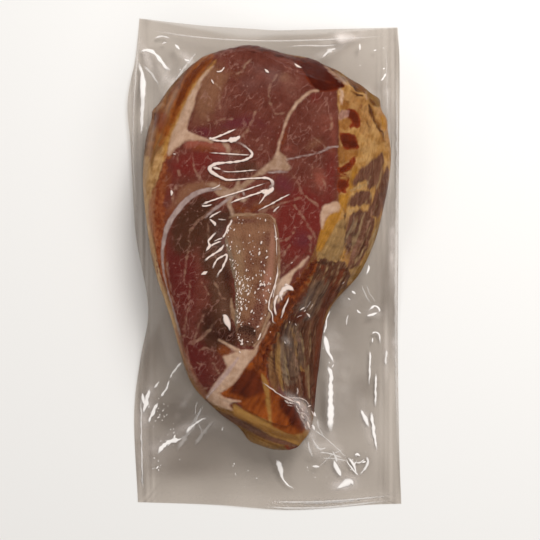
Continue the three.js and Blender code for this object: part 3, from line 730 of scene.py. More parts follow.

# How the lean varies: a colour, and where it shows as soft patches of
# (u, v, reach along, reach across, turn, strength). The shadow tone is a painted shade, and the
# milky tone a pale veil of the film over the lean, in part a painted sheen
TONES = {
    "warm": ("#825840", [
        (207, 96, 30, 13, 105, 1), (215, 78, 12, 12, 0, 0.5), (285, 77, 9, 7, 0, 0.5),
        (206, 186, 26, 5, -8, 0.9), (180, 199, 20, 6, -45, 0.7), (240, 74, 14, 8, 0, 0.3),
        (315, 144, 15, 7, -20, 0.45), (262, 204, 16, 6, -10, 0.5), (236, 153, 8, 5, 0, 0.6)]),
    # a pale veil of the film over the lean, in part a painted sheen
    "milky_sheen": ("#8a5c4d", [
        (318, 112, 20, 15, 0, 0.3), (302, 260, 12, 9, 40, 0.6), (256, 82, 16, 10, 0, 0.22),
        (292, 92, 12, 12, 0, 0.35), (324, 178, 26, 14, 80, 0.22), (284, 250, 5, 18, 0, 0.4),
        (288, 78, 16, 10, 0, 0.35), (224, 104, 20, 10, 110, 0.4), (238, 128, 16, 9, 0, 0.35),
        (255, 168, 15, 9, -15, 0.5), (190, 322, 30, 12, 80, 0.3)]),
    "rosy": ("#925040", [
        (206, 145, 18, 5, 4, 0.85), (190, 144, 7, 4, -30, 0.6), (223, 149, 9, 5, 20, 0.7),
        (325, 124, 10, 14, 0, 0.42), (321, 180, 13, 9, 60, 0.7), (275, 216, 14, 5, -14, 0.6),
        (289, 149, 9, 7, 0, 0.42), (286, 200, 10, 5, -20, 0.4), (334, 140, 24, 4, 90, 0.35),
        (298, 128, 10, 9, 20, 0.25), (205, 171, 12, 5, 0, 0.3)]),
    "red": ("#6e2720", [
        (296, 226, 38, 20, 95, 1.3), (300, 214, 11, 9, 0, 0.6), (190, 163, 24, 14, -20, 0.9),
        (331, 176, 40, 8, 92, 0.6), (214, 160, 16, 9, -10, 0.7), (312, 212, 18, 14, 60, 0.8),
        (316, 98, 8, 8, 0, 0.5), (283, 135, 20, 6, 110, 0.5), (165, 195, 22, 6, 110, 0.5),
        (165, 250, 20, 4, 80, 0.6)]),
    "wine": ("#632a2d", [
        (238, 122, 20, 7, -12, 0.8), (204, 132, 12, 6, 10, 0.8), (264, 130, 14, 12, 0, 0.4),
        (284, 184, 14, 10, 40, 0.8), (302, 240, 12, 12, 0, 0.7), (262, 158, 10, 8, 0, 0.2)]),
    "deep": ("#5f221d", [
        (182, 292, 48, 15, 80, 0.75), (200, 372, 22, 14, 70, 0.75), (188, 268, 20, 10, 80, 0.6),
        (198, 350, 16, 12, 0, 0.6), (176, 262, 18, 8, 80, 0.6)]),
    "brown": ("#492a1b", [
        (194, 214, 26, 14, 130, 1), (183, 240, 22, 12, 100, 0.8), (212, 250, 26, 14, 80, 1),
        (222, 296, 34, 12, 80, 1.1), (212, 332, 20, 13, 80, 1.1), (246, 168, 16, 10, 0, 0.7),
        (232, 213, 10, 8, 0, 0.6), (214, 222, 16, 10, 0, 0.9), (228, 342, 10, 8, 0, 0.9)]),
    "tawny": ("#5f4030", [
        (218, 284, 26, 10, 85, 0.6), (229, 262, 14, 6, 80, 0.7), (213, 256, 12, 9, 0, 0.4),
        (226, 312, 16, 8, 85, 0.6), (206, 236, 9, 5, 120, 0.4)]),
    "shadow": ("#3a1c12", [
        (208, 322, 16, 9, 80, 0.7), (196, 206, 12, 6, 140, 0.4), (221, 336, 9, 7, 0, 0.6),
        (227, 276, 18, 5, 80, 0.6), (231, 335, 6, 9, 0, 0.8)]),
    "rusty": ("#7b4020", [
        (158, 205, 30, 5, 95, 1.2), (160, 250, 34, 5, 86, 1.2), (166, 292, 26, 3.5, 76, 1),
        (200, 148, 16, 5, 0, 0.4), (284, 138, 16, 3.5, 105, 0.5), (258, 208, 22, 4, -12, 0.6),
        (225, 351, 8, 6, 20, 1), (236, 206, 8, 6, 0, 0.5), (332, 150, 5, 4, 0, 0.4), (276, 168, 5, 5, 0, 0.3),
        (165, 182, 14, 7, 110, 0.6), (170, 214, 14, 6, 120, 0.5), (210, 148, 12, 6, 0, 0.3),
        (222, 178, 12, 5, 0, 0.5)]),
}

# Lines that the fibres of the flanks follow, down each side of the joint
FLOW_LINES = [
    [(338, 60), (352, 90), (356, 120), (357, 150), (356, 180), (354, 205), (350, 228), (341, 252), (328, 278),
     (314, 304), (304, 330), (301, 360), (303, 400), (306, 440)],
    [(214, 50), (196, 66), (184, 84), (174, 106), (164, 130), (155, 155), (150, 185), (151, 215), (154, 245),
     (160, 275), (167, 305), (176, 335), (186, 368), (204, 398), (230, 415), (262, 432), (296, 446)],
]
FLOW_STRETCH = 11.0
# Where the lean runs out over the rim of the face, as a soft patch
BARE_RIM = [(264, 45, 62, 20, 7, 0.62)]
# The rank where skin starts at the rim, how sharply, and between which ranks drawing fades out
SKIN_START = 0.93
SKIN_SHARPNESS = 16
DRAWN_FROM, DRAWN_FULLY = -0.35, -0.02


def flow_places(u, v):
    """How far across the nearest flow line each place is, signed, and how far along it, the
    latter divided by FLOW_STRETCH, in pixels."""
    across, along, best = np.zeros_like(u), np.zeros_like(u), np.full(u.shape, np.inf)
    rows = np.arange(len(u))
    for line in FLOW_LINES:
        path = open_curve(line, np.linspace(0, 1, 4 * len(line)))
        gap, share = segment_gaps(path, u, v)
        nearest = gap.argmin(1)
        way = np.diff(path, axis=0)
        length = np.hypot(*way.T)
        du, dv = u - path[nearest, 0], v - path[nearest, 1]
        side = np.sign(du * way[nearest, 1] - dv * way[nearest, 0])
        here = gap[rows, nearest]
        run = np.concatenate([[0], np.cumsum(length)])[nearest]
        run = run + share[rows, nearest] * length[nearest]
        across = np.where(here < best, side * here, across)
        along = np.where(here < best, run / FLOW_STRETCH, along)
        best = np.minimum(best, here)
    return across, along


def tissue_attributes(points, rank):
    """Depth inside each tissue, the strength of each tone of the lean and the place in the
    flow, by point of the joint. Outside the sawn face the skin comes first, and under the
    widest line it is all."""
    u, v = to_photo(points)
    drawn = smooth_step(rank, DRAWN_FROM, DRAWN_FULLY)
    start = SKIN_START - stains(BARE_RIM, u, v)
    shares = {"skin": mix(FAR, np.clip((start - rank) * SKIN_SHARPNESS, -FAR, FAR), drawn)}
    shares["across"], shares["along"] = flow_places(u, v)
    for name in {**BANDS, **REGIONS}:
        depth = band_depth(BANDS.get(name, []), u, v)
        depth = np.maximum(depth, region_depth(REGIONS.get(name, []), u, v))
        shares[name] = mix(-FAR, depth, drawn)
    for name, (_, patches) in TONES.items():
        shares[name] = stains(patches, u, v)
    return shares


def make_meat(material):
    """The joint just under its film, with seams sunk, fat raised, the flank rugged, and a bed
    for the bone whose wall is a quarter circle of the way in from the bone's outline."""
    points, triangles, (rank,) = joint_form(rows=400, lower=12, upper=24, across=124, under=14)
    normals = normals_of(points, triangles)
    tissue = tissue_attributes(points, rank)
    x, y, _ = points.T
    lift = FAT_RISE * smooth_step(np.maximum(tissue["white_fat"], tissue["dull_fat"]), -1, 1.5)
    for name, depth in SUNK_EDGES.items():
        lift -= depth * np.exp(-((tissue[name] + 0.6) / 1.1) ** 2)
    lift -= SUNK_CREVICES * smooth_step(tissue["crevice_shade"], -1, 1)
    rugged = smooth_step(np.max([tissue[name] for name in RUGGED], axis=0), -1, 4)
    lift += rugged * (0.8 * rumple(x, y, 13, seed=3) + 0.6 * rumple(x, y, 4.6, seed=4, turn=66, fan=40))
    lift += 0.2 * rumple(x, y, 7, seed=5) + 0.12 * rumple(x, y, 3.2, seed=6, turn=60, fan=70)
    upper = smooth_step(rank, 0, 0.3)
    gap = mix(MEAT_UNDER_FILM_AT_WAIST, MEAT_UNDER_FILM, upper)
    points = points + normals * (np.clip(lift, *RELIEF_LIMITS) * upper - gap)[:, None]
    inward = np.clip((region_depth([BONE_OUTLINE], x, y) - BED_MARGIN) / BED_WIDTH, 0, 1)
    bed = BED_DEPTH * np.sqrt(1 - (1 - inward) ** 2)
    points[:, 2] -= bed * (rank > 1.5)
    points[:, 2] = np.maximum(points[:, 2], MEAT_FLOOR_GAP)
    return make_piece("cured_meat", points, triangles, material, tissue)


# How the sawn bone varies, as the lean does
BONE_TONES = {
    "olive": ("#886c50", [
        (238, 256, 28, 8, 82, 0.6), (247, 288, 14, 8, 70, 0.4), (240, 300, 20, 5, 85, 0.4)]),
    "grey_wall": ("#6c5b4a", [
        (228.6, 250, 20, 2.2, 75, 1), (234, 285, 24, 2.6, 85, 1.1), (236, 318, 20, 2.4, 92, 0.9)]),
    "pink_side": ("#966653", [
        (272, 246, 24, 4, 92, 0.7), (268, 278, 14, 5, 98, 0.8), (262, 302, 16, 6, 100, 0.6),
        (258, 322, 10, 5, 110, 0.6), (256, 250, 6, 9, 0, 0.3)]),
    "marrow": ("#5e3226", [
        (250, 262, 20, 7, 100, 0.5), (257, 314, 14, 5.4, 110, 1.6), (258, 292, 8, 5, 90, 0.6),
        (246, 221, 16, 2.6, 0, 0.9), (262, 240, 10, 5, 100, 0.4), (248, 325, 9, 5, 0, 0.7),
        (262, 286, 5, 3, 0, 0.8), (263, 264, 8, 4, 95, 0.9), (268, 240, 9, 3, 90, 0.7)]),
    "cavity": ("#4e2a1e", [
        (246, 336, 11, 9, 0, 1.6), (239, 222, 12, 1.8, -10, 0.8)]),
}


def make_bone(material):
    """The sawn bone: rings from its middle out to its outline over the face, then down into
    the meat, narrowing as the cosine of the angle whose sine is the depth reached."""
    outline = closed_curve(BONE_OUTLINE, np.arange(BONE_AROUND) / BONE_AROUND * len(BONE_OUTLINE))
    share = np.linspace(0, 1, BONE_OUT_RINGS)[:, None, None]
    plan = mix(np.array(BONE_MIDDLE, float), outline[None], share)
    x, y = plan[..., 0], plan[..., 1]
    (hx, hy), (rx, ry), hole = MARROW_HOLE
    dip = np.sqrt(np.clip(1 - ((x - hx) / rx) ** 2 - ((y - hy) / ry) ** 2, 0, 1))
    inner = smooth_step(1 - share[..., 0], 0, BONE_EDGE_SHARE)
    spongy = np.minimum(rumple(x, y, 3.4, seed=11) + 0.6 * rumple(x, y, 1.9, seed=12), 0.35)
    z = face_level(y) + relief_at(x, y) - MEAT_UNDER_FILM + BONE_PROUD - BONE_EDGE_DROP * (1 - inner)
    z = z + inner * (SPONGY_HEIGHT * spongy - hole * dip)
    angle = (math.pi / 2) * np.arange(BONE_DOWN_RINGS) / BONE_DOWN_RINGS
    narrow = np.cos(angle)[:, None]
    across = mix(BONE_MIDDLE[0], outline[None, :, 0], narrow)
    along = mix(BONE_MIDDLE[1], outline[None, :, 1], mix(1, narrow, BONE_END_ROUNDING))
    low = np.broadcast_to((BONE_SHOULDER - BONE_DEPTH * np.sin(angle))[:, None], across.shape)
    side = np.stack([across, along, low], axis=-1)
    last = np.broadcast_to([*BONE_MIDDLE, BONE_SHOULDER - BONE_DEPTH], (1, BONE_AROUND, 3))
    grid = np.concatenate([with_z(plan, z), side, last])[::-1]
    points, triangles, _ = weld(grid.reshape(-1, 3), grid_triangles(len(grid), BONE_AROUND), [])
    u, v = to_photo(points)
    tones = {name: stains(patches, u, v) for name, (_, patches) in BONE_TONES.items()}
    return make_piece("sawn_bone", points, triangles, material, tones)


# Folds of the film, each with a painted highlight along its top: path of (u, v, half width)
# in pixels, then how much of the painted highlight shows in the fold, 1 for all of it
JOINT_FOLDS = [
    ([(237.5, 128.6, 0.4), (230, 131.5, 0.9), (222, 135, 0.9), (213, 138.5, 1.1), (208, 138, 1.7)], 1),
    ([(208, 138.5, 1.3), (216, 140.5, 0.9), (224, 141, 1.1), (230, 140.3, 1.9), (236, 139, 2.4),
      (239, 137, 1.2), (240, 135, 0.4)], 1),
    ([(231, 141, 1.1), (240, 143.5, 1.2), (246.7, 147.5, 1.2), (251, 151.5, 1.3), (252.2, 154.5, 1.3),
      (249, 158, 1.2), (243, 160.5, 1.1), (234, 162, 1), (224, 162.8, 1), (215.5, 164, 1.5),
      (210.5, 167, 1.9), (210.5, 170.5, 1.9), (214.5, 174, 1.6), (221, 177.5, 1.1), (227, 179.8, 1.1),
      (237, 179.6, 0.7), (248, 178.6, 0.7), (258, 178.2, 0.8), (266, 178, 1), (271, 180, 1.6),
      (272.6, 184, 1.9), (270, 188.5, 2.2), (266, 191, 2.4)], 1),
    ([(271.6, 186, 1), (272, 189, 2.6), (268, 192, 3.4), (263, 191.5, 2.6), (259, 191, 0.8)], 1),
    ([(267, 190.4, 1.6), (260, 192.5, 0.9), (252, 195, 0.8), (244.4, 197.8, 0.8), (236, 200.5, 0.8),
      (228.5, 204, 0.8)], 1), ([(268, 191, 1.8), (263, 198.5, 0.8), (258, 205, 0.3)], 0.9),
    ([(268.5, 182, 0.4), (257, 186, 0.5), (245, 190, 0.7), (232, 194, 0.7), (220, 197.8, 0.7),
      (208, 202, 0.8), (200.5, 205.5, 1.1)], 0.95),
    ([(201, 205.8, 1.1), (206, 206, 0.8), (212.5, 204.2, 0.4)], 0.9),
    ([(208, 152.7, 0.4), (218, 153.2, 0.6), (230, 154, 0.7), (244, 154.8, 0.6), (251, 154.8, 0.4)], 0.75),
    ([(212, 167.5, 0.6), (217, 168.3, 1.3), (221.5, 169.5, 0.9)], 0.9),
    ([(221, 170.5, 0.4), (228, 171.8, 0.5), (240, 171.4, 0.6), (250, 170.4, 0.6), (258, 170, 0.5)], 0.75),
    ([(210.5, 189, 0.4), (216, 187.3, 0.7), (220.8, 184, 0.4)], 0.7),
    ([(291, 193.5, 0.4), (283, 197.5, 0.7), (270, 204.5, 0.7), (256, 211.8, 0.4)], 0.8),
    ([(280, 206, 0.4), (276, 209, 0.8), (273, 212.5, 1.2)], 0.7),
    ([(222.5, 210.5, 0.4), (214, 214.5, 0.8), (208.8, 218.5, 1.3)], 0.8),
    ([(208.8, 218.5, 1.2), (212.5, 221.5, 1.2), (215, 224, 1.7), (214, 226.5, 0.7)], 0.95),
    ([(217.5, 219, 0.4), (222, 219.6, 0.6), (227, 219.8, 0.4)], 0.6),
    ([(232, 218.7, 1.1), (230.5, 222.5, 0.9), (227.5, 228, 0.9), (224.5, 235, 0.9), (222, 238.5, 0.9)], 1),
    ([(223, 237.5, 0.8), (213.5, 241.5, 0.5)], 0.8),
    ([(217.4, 230.8, 0.7), (213, 235.5, 0.9), (209, 240, 1), (209, 243.5, 1.2), (209.5, 246, 1.7),
      (207, 249.5, 0.9), (205.2, 252, 0.4)], 1),
    ([(222, 241, 0.5), (215, 243.5, 0.9), (210, 246.5, 1.3)], 0.9),
    ([(224.5, 243.5, 0.4), (221.5, 248.5, 1.2), (217, 252, 1), (210, 256.5, 0.9), (203.8, 262, 1.4)], 1),
    ([(213.5, 269.5, 1.2), (213.8, 266, 1), (217, 260, 0.8), (222, 256.5, 0.9), (226.3, 254.8, 0.9),
      (226, 259.5, 0.9), (223.5, 266, 1), (219.5, 272.5, 0.8), (215.3, 279, 1)], 1),
    ([(200.5, 274.8, 1), (204.5, 273, 1.9), (208.5, 271.3, 0.6)], 1),
    ([(221.5, 315, 1.4), (224.8, 316.5, 2.8), (226.8, 321, 2.5), (228.7, 326, 1.7), (230.7, 332, 0.4)], 1),
    ([(171, 189.5, 0.5), (171.7, 192.7, 1.8), (170.6, 196.3, 0.8)], 1),
    ([(172.8, 153.8, 0.7), (176, 154.2, 0.6)], 0.9),
    ([(215.5, 71.2, 0.7), (219.5, 71.6, 0.7), (223, 69.3, 0.7), (225, 66.6, 1.1)], 0.95),
    ([(211, 79, 0.5), (212.5, 81.3, 0.9), (214.2, 84.5, 0.4)], 0.8),
    ([(264, 68.5, 0.5), (267, 71.3, 1.4), (269.3, 73, 0.5)], 0.9),
    ([(294, 63, 0.6), (296.4, 65.3, 1.8), (299.5, 67, 1.3), (302, 67.6, 0.4)], 1),
    ([(277, 262, 0.4), (277.9, 270.5, 0.6), (277, 277, 0.7), (273.8, 288, 0.7), (270.2, 298, 0.6),
      (268.5, 307.5, 0.6), (271.6, 313, 0.7), (273, 321, 0.7), (277, 323.8, 0.5)], 0.9),
    ([(276, 283, 0.4), (274.3, 291, 0.6), (272.5, 299, 0.5)], 0.7),
    ([(273.5, 222, 0.4), (275.6, 231, 0.6), (276.6, 245, 0.5), (276.6, 258, 0.4)], 0.6),
    ([(279.6, 293.4, 1), (275.4, 299.6, 1.1), (274.7, 308, 0.9), (276, 316.6, 0.7)], 0.95),
    ([(289.5, 296, 0.6), (286, 304, 0.9), (283.2, 311, 1), (280.5, 320, 0.7)], 0.9),
    ([(279.6, 293.5, 0.8), (282.5, 301, 0.6)], 0.7),
    ([(279.4, 300, 0.8), (280.4, 294.6, 2.2), (283, 290.4, 2.2), (287, 287.4, 2.6), (291.6, 288.8, 1.8),
      (294.4, 291.6, 0.5)], 0.9), ([(284, 285.6, 0.5), (286, 284.4, 1.3), (288.6, 285, 0.5)], 0.8),
    ([(290, 263.5, 0.6), (293, 262, 0.5)], 0.7),
    ([(257.5, 340.8, 0.9), (259.4, 336.8, 0.7), (261.4, 332.2, 0.5)], 0.9),
    ([(239.3, 350.6, 0.9), (240.6, 353.2, 0.9)], 0.95), ([(238.5, 339.5, 1), (240.8, 341.8, 0.6)], 0.8),
    ([(246.5, 341.3, 0.8), (249, 341.8, 0.7)], 0.8),
    ([(299.6, 310.6, 0.4), (302.4, 308.4, 1.3), (305, 307, 0.5)], 0.9),
    ([(306, 312.6, 0.4), (308.6, 315.4, 1.2), (309.6, 318, 0.5)], 0.85),
    ([(303.4, 312, 0.5), (306, 309.6, 0.8)], 0.75),
    ([(296, 318, 0.4), (299, 316, 0.7), (303, 315, 0.4)], 0.4),
    ([(311, 300, 0.4), (308.6, 304.6, 0.6), (305.6, 308.6, 0.4)], 0.35),
    ([(309.5, 310.4, 0.5), (313.3, 303, 0.4)], 0.5), ([(289.5, 320.7, 0.8), (289.3, 323.6, 0.9)], 0.7),
    ([(295, 323, 0.6), (296.5, 326, 0.9)], 0.6), ([(284.4, 341, 1.2), (286, 344, 0.8)], 0.6),
    ([(270.3, 331, 0.6), (270.6, 333, 0.5)], 0.8), ([(342, 284, 0.8), (345, 281.5, 0.6)], 0.5),
    ([(260, 380.5, 0.5), (270, 387.7, 0.6), (278, 393.5, 0.7), (284, 397, 0.8), (291, 400.5, 0.9),
      (298, 403, 0.7)], 0.6),
    ([(284, 396, 0.6), (291, 397.7, 0.5), (300, 398.2, 0.5), (306, 401, 0.6), (310.5, 407, 0.8)], 0.5),
    ([(296.5, 387, 0.5), (297.8, 391, 1), (297, 395.5, 0.8)], 0.4),
    ([(295, 402, 0.6), (298.5, 402.6, 1), (300.5, 406.2, 0.9)], 1),
    ([(307.4, 407, 0.8), (309.4, 406, 1.2), (311.5, 405.5, 0.7)], 1),
    ([(310.6, 410.5, 0.5), (313, 414, 1.2), (314, 416.4, 0.8)], 1),
    ([(306.4, 420.6, 0.7), (308, 423.6, 1.5), (309.2, 427, 1.3), (310, 430, 0.6)], 1.1),
    ([(299, 408, 0.6), (300, 416, 1.4), (305, 424, 1.2), (309, 431, 0.8)], 0.25),
    ([(303, 411, 0.5), (307, 417, 1), (309, 423, 0.7)], 0.35),
    ([(288.6, 400.2, 0.6), (290.6, 401.3, 0.6)], 0.8),
    ([(205.5, 399.5, 0.4), (210, 394, 0.5), (216, 386, 0.5)], 0.3),
]
MARGIN_FOLDS = [
    ([(139.8, 52, 0.6), (143, 50.8, 1.1), (147.9, 50.4, 1.5), (154, 53, 1.5), (159.5, 59.3, 1.7),
      (165.7, 67.3, 1.3), (171.5, 71.5, 0.6)], 0.95),
    ([(138, 60, 0.5), (140.6, 68, 1.3), (142.6, 77, 2.2), (142.9, 90, 2.4), (142.5, 104, 2.2),
      (142, 118, 1.9), (141.6, 129, 1.3), (141.4, 136, 0.4)], 1),
    ([(154, 38.3, 0.5), (159, 36.8, 0.8), (164, 36.5, 0.8), (171, 38.8, 0.5)], 0.6),
    ([(174.6, 44, 1), (177.5, 47, 1.9), (180.5, 50.4, 0.8)], 0.85),
    ([(161.5, 44, 0.8), (164.5, 42.8, 1.6), (167, 42.5, 0.6)], 0.55),
    ([(184, 58.6, 1), (187, 60.6, 2.2), (190.5, 60.8, 0.8)], 0.8),
    ([(179, 70.5, 1.2), (181, 68.8, 1.5)], 0.9),
    ([(143.4, 65.5, 1.2), (149, 71, 1), (154, 77, 1.2), (159.5, 87, 0.7)], 0.4),
    ([(146, 127.6, 0.9), (147.5, 128.6, 0.8)], 0.8), ([(144.5, 142, 0.9), (144.8, 146.5, 0.8)], 0.6),
    ([(141, 193, 0.8), (141, 195, 0.8)], 0.8),
    ([(286.8, 46.8, 0.5), (305, 45.6, 0.8), (322.5, 46, 0.8), (340, 44.6, 0.5)], 0.35),
    ([(321, 59, 0.6), (327, 53, 1.4), (331, 50, 1.6), (337, 48.4, 0.8)], 0.5),
    ([(359.6, 43, 0.7), (359.8, 51, 0.7)], 0.7), ([(373.5, 51, 1.1), (376.5, 49.8, 1.3)], 0.9),
    ([(382.5, 47, 0.9), (384, 49, 1)], 0.55), ([(382.5, 69.5, 1.4), (385, 68, 1.5)], 0.95),
    ([(359.6, 65.5, 0.9), (361, 65.5, 0.9)], 0.7), ([(386.5, 73, 1), (384, 77, 0.9), (381, 81.5, 1.1)], 0.75),
    ([(368, 264.5, 1.4), (368.6, 268.8, 1.7), (365.8, 275.3, 0.9)], 0.95),
    ([(351.4, 290.6, 1.6), (353.4, 292.4, 2.6), (355.6, 294.2, 1.8)], 1),
    ([(347.4, 297.8, 0.7), (350.4, 300, 0.9)], 0.75),
    ([(356.6, 309, 0.9), (358.4, 311.8, 1.1), (361.3, 313.7, 0.6)], 0.85),
    ([(366, 316, 1), (372, 314.6, 1.1), (378, 312.6, 1)], 1),
    ([(368.6, 311, 0.5), (372, 307.6, 0.8), (375.2, 306, 0.9), (379.8, 309.8, 1), (378.4, 312.6, 0.8)], 0.95),
    ([(348.2, 313.7, 0.4), (347, 320, 0.8), (345.9, 326, 0.5)], 0.55),
    ([(361, 283, 0.4), (365, 294, 0.6), (371, 304, 0.5)], 0.3),
    ([(366, 284, 0.4), (370, 294, 0.5), (376, 302, 0.4)], 0.25),
    ([(371.5, 334, 0.6), (373.8, 332.4, 0.9), (377, 332.6, 0.9), (379.6, 335.9, 0.8),
      (380.2, 345, 0.6)], 0.8), ([(372.8, 337.4, 0.9), (372.2, 343, 0.8)], 1),
    ([(370.5, 350.6, 0.8), (370, 356.5, 0.7), (369.7, 368.8, 0.8), (369, 387, 0.4)], 0.8),
    ([(386.6, 349, 0.7), (386, 357, 0.9), (385.4, 366, 1.5)], 0.65),
    ([(376.2, 372, 0.6), (375.6, 386, 0.9), (375.2, 408, 0.8)], 0.8),
    ([(331, 309.6, 0.4), (327, 318, 0.8), (325.2, 327.4, 0.8), (323.9, 334.6, 1.2)], 0.85),
    ([(323.6, 334.4, 1), (325.2, 339, 2.1), (326.6, 345, 2.4), (328.4, 351.5, 1.9), (331, 357, 1),
      (334.6, 364.4, 0.7)], 1), ([(333.8, 364, 0.6), (331.4, 368, 0.7)], 0.8),
    ([(326.6, 365.4, 0.7), (328.8, 368.8, 1.5), (330.6, 373, 1.8), (330.6, 385, 2.2), (330.6, 400, 2.6),
      (330.6, 414, 3), (330.6, 424, 2.6), (331, 434, 1)], 1), ([(328.2, 361.6, 0.9), (330, 363.8, 0.8)], 0.6),
    ([(169.6, 379, 0.6), (167.4, 386.4, 0.9), (163.6, 392.8, 0.9), (160.2, 397, 0.9)], 1),
    ([(183, 360.8, 0.5), (178, 366.5, 0.9), (173, 372.6, 0.8), (169.6, 379, 0.7)], 0.95),
    ([(158.2, 398, 1), (159.6, 399, 1)], 0.9),
    ([(158.7, 401, 0.6), (155.3, 407.4, 1.3), (152.8, 413, 1.5), (150.2, 418, 1.1), (148.1, 424, 0.5)], 1),
    ([(149.8, 387.6, 0.5), (147.8, 396, 1.5), (145.4, 405, 1.9), (143, 414, 0.5)], 1),
    ([(142.4, 392, 0.8), (143.2, 399, 1.6), (144, 405, 1.4)], 0.95),
    ([(159.4, 380.8, 0.4), (156.6, 385, 0.9), (153.5, 388, 1.3)], 0.8),
    ([(157.2, 418.4, 1.2), (159.4, 416.4, 1.3)], 0.95), ([(161.6, 420.8, 1), (163, 419.6, 1.1)], 0.9),
    ([(162, 411.8, 0.9), (163, 409.6, 0.7)], 0.6), ([(166, 416, 0.8), (167.4, 413.6, 0.7)], 0.6),
    ([(152.9, 427.2, 0.8), (154, 426, 0.8)], 0.6),
    ([(207.8, 418.2, 0.4), (202.5, 419, 0.8), (197.4, 422, 0.8), (192.3, 426, 1.1), (188.5, 429.7, 1.5),
      (185.4, 434.4, 0.5)], 0.9),
    ([(183.6, 436.6, 0.4), (179.5, 439.3, 0.8), (174.4, 440.3, 2.1), (169.3, 441.9, 1.7), (164.2, 445, 1.8),
      (160.4, 449.5, 1.7), (156.4, 455.6, 0.5)], 1), ([(175.4, 434.2, 0.8), (174, 439.6, 1.3)], 0.95),
    ([(174.6, 431.4, 0.6), (172.8, 433.6, 0.7)], 0.7), ([(153.4, 457.6, 1.3), (155.4, 458.4, 1.2)], 1),
    ([(158.5, 465.5, 0.6), (156, 469.4, 1.3)], 0.9), ([(179.4, 458.8, 0.9), (180.4, 460.2, 1)], 0.8),
    ([(234, 462.8, 1.1), (234.4, 465, 1)], 0.85), ([(235, 472, 0.6), (236, 476, 0.8)], 0.35),
    ([(197.4, 401, 0.4), (195.8, 408, 0.5), (195.5, 415, 0.4)], 0.45),
    ([(223.6, 426.4, 0.6), (221.5, 431.2, 0.7)], 0.55),
    ([(198, 421.6, 0.4), (201, 429, 0.4), (201.4, 434.6, 0.3)], 0.3),
    ([(360.4, 409, 0.8), (364.6, 417, 1.9), (369.4, 428, 0.9)], 0.85),
    ([(371, 411, 1), (372.4, 421, 1.7), (374.5, 436, 1.1), (377, 452, 0.5)], 0.9),
    ([(333, 459, 0.8), (335.4, 465.4, 1.7), (339, 472, 1.7), (341.4, 477, 0.8)], 1),
    ([(345.3, 458.4, 0.6), (352, 468.7, 0.9), (359, 476, 0.7)], 0.8),
    ([(354.4, 455.6, 1.2), (357.4, 454.2, 2), (360.4, 456.4, 0.7)], 1),
    ([(366, 456, 0.8), (367.6, 464, 1.1), (359.6, 475.6, 0.7)], 0.7),
    ([(353, 462, 0.6), (360, 462.6, 0.8), (365, 459, 0.7)], 0.6),
    ([(312.4, 410, 0.6), (314.4, 414, 1.3), (316, 417, 0.7)], 0.9),
    ([(312, 424, 0.8), (313.4, 427.6, 1.3), (315, 431, 0.7)], 0.9),
    ([(316.5, 418, 0.5), (319, 428, 0.9), (324, 437, 0.5)], 0.3),
    ([(312.5, 429, 0.6), (322.9, 436, 0.5), (336.6, 448, 0.5), (347, 458.4, 0.6)], 0.4),
    ([(311.4, 466, 0.9), (316, 466.4, 1.2), (320.5, 467, 0.8)], 0.9),
    ([(314.4, 477, 1.1), (316, 477.6, 1)], 0.75), ([(325.8, 477, 0.8), (327, 477.4, 0.7)], 0.45),
    ([(276.4, 458.6, 1), (279, 463.6, 2.4), (280.6, 470, 1.8), (282, 477, 1.2), (286.7, 484, 0.8),
      (295.3, 489.4, 0.4)], 1), ([(318, 468, 0.4), (332, 455, 0.5), (344, 449, 0.4)], 0.3),
    ([(141, 394, 0.5), (141.2, 420, 0.7), (141.6, 450, 0.7), (142.6, 484, 0.9)], 0.5),
    ([(336, 489, 0.8), (341, 486, 2.6), (347, 482.5, 4.4), (351.5, 482, 3.6), (354, 486, 1)], 0.9),
    ([(206, 403, 0.5), (196, 418, 1.2), (186, 436, 2), (176, 452, 1.2)], 0.2),
    ([(203, 404, 0.4), (197, 418, 0.8), (192, 432, 0.5)], 0.3),
    ([(214, 420, 0.5), (204, 432, 1.6), (194, 446, 1.4)], 0.18),
    ([(318, 452, 0.5), (330, 453.6, 0.7), (343, 458, 0.6)], 0.5),
    ([(321, 458, 0.5), (334, 458.6, 0.6), (348, 461, 0.5)], 0.4),
    ([(348, 457.6, 0.6), (352, 462, 0.9), (355, 468, 0.9), (356, 474, 0.6)], 0.85),
    ([(357, 460, 0.5), (354, 466, 0.8), (356.6, 472, 0.5)], 0.7), ([(362, 463, 1.2), (366, 461, 0.8)], 0.9),
    ([(311, 437, 0.5), (316, 445, 0.8), (322, 452, 0.6)], 0.35),
    ([(308, 440, 0.5), (309.6, 449, 0.8), (313, 458, 0.6)], 0.4),
    ([(315, 446, 0.5), (320, 449, 0.9), (327, 447.6, 0.8)], 0.45),
    ([(332, 450, 0.6), (335.6, 457, 1), (337, 463, 0.6)], 0.55),
    ([(291, 420, 0.4), (293, 438, 0.4), (309, 443, 0.5)], 0.1),
    ([(300, 503.4, 0.5), (330, 502.4, 0.7), (362, 500.4, 0.5)], 0.3),
    ([(139.5, 36, 0.5), (135.5, 80, 0.7), (133, 150, 0.7), (137, 215, 0.6)], 0.28),
    ([(141, 440, 0.6), (142, 465, 0.8), (142.6, 490, 0.6)], 0.4),
    ([(386, 44, 0.5), (387.5, 120, 0.7), (389.5, 200, 0.6)], 0.2),
    ([(396, 60, 0.8), (397, 150, 1.2), (396, 260, 1.4), (396, 360, 1.2), (398, 470, 0.8)], 0.28),
    ([(148, 30, 0.6), (200, 37.5, 0.8), (262, 41, 0.9), (330, 39.5, 0.8), (388, 36, 0.6)], 0.3),
    ([(272, 501.5, 0.6), (300, 502, 0.8), (340, 500.5, 0.8), (396, 495, 0.6)], 0.45),
    ([(262, 506.5, 0.7), (290, 508, 0.9), (322, 507.4, 0.9), (350, 505, 0.9), (394, 500, 0.7)], 0.5),
    ([(197, 52, 0.8), (189, 62, 1.2), (180, 74, 1.2), (172, 88, 0.8)], 0.35),
]
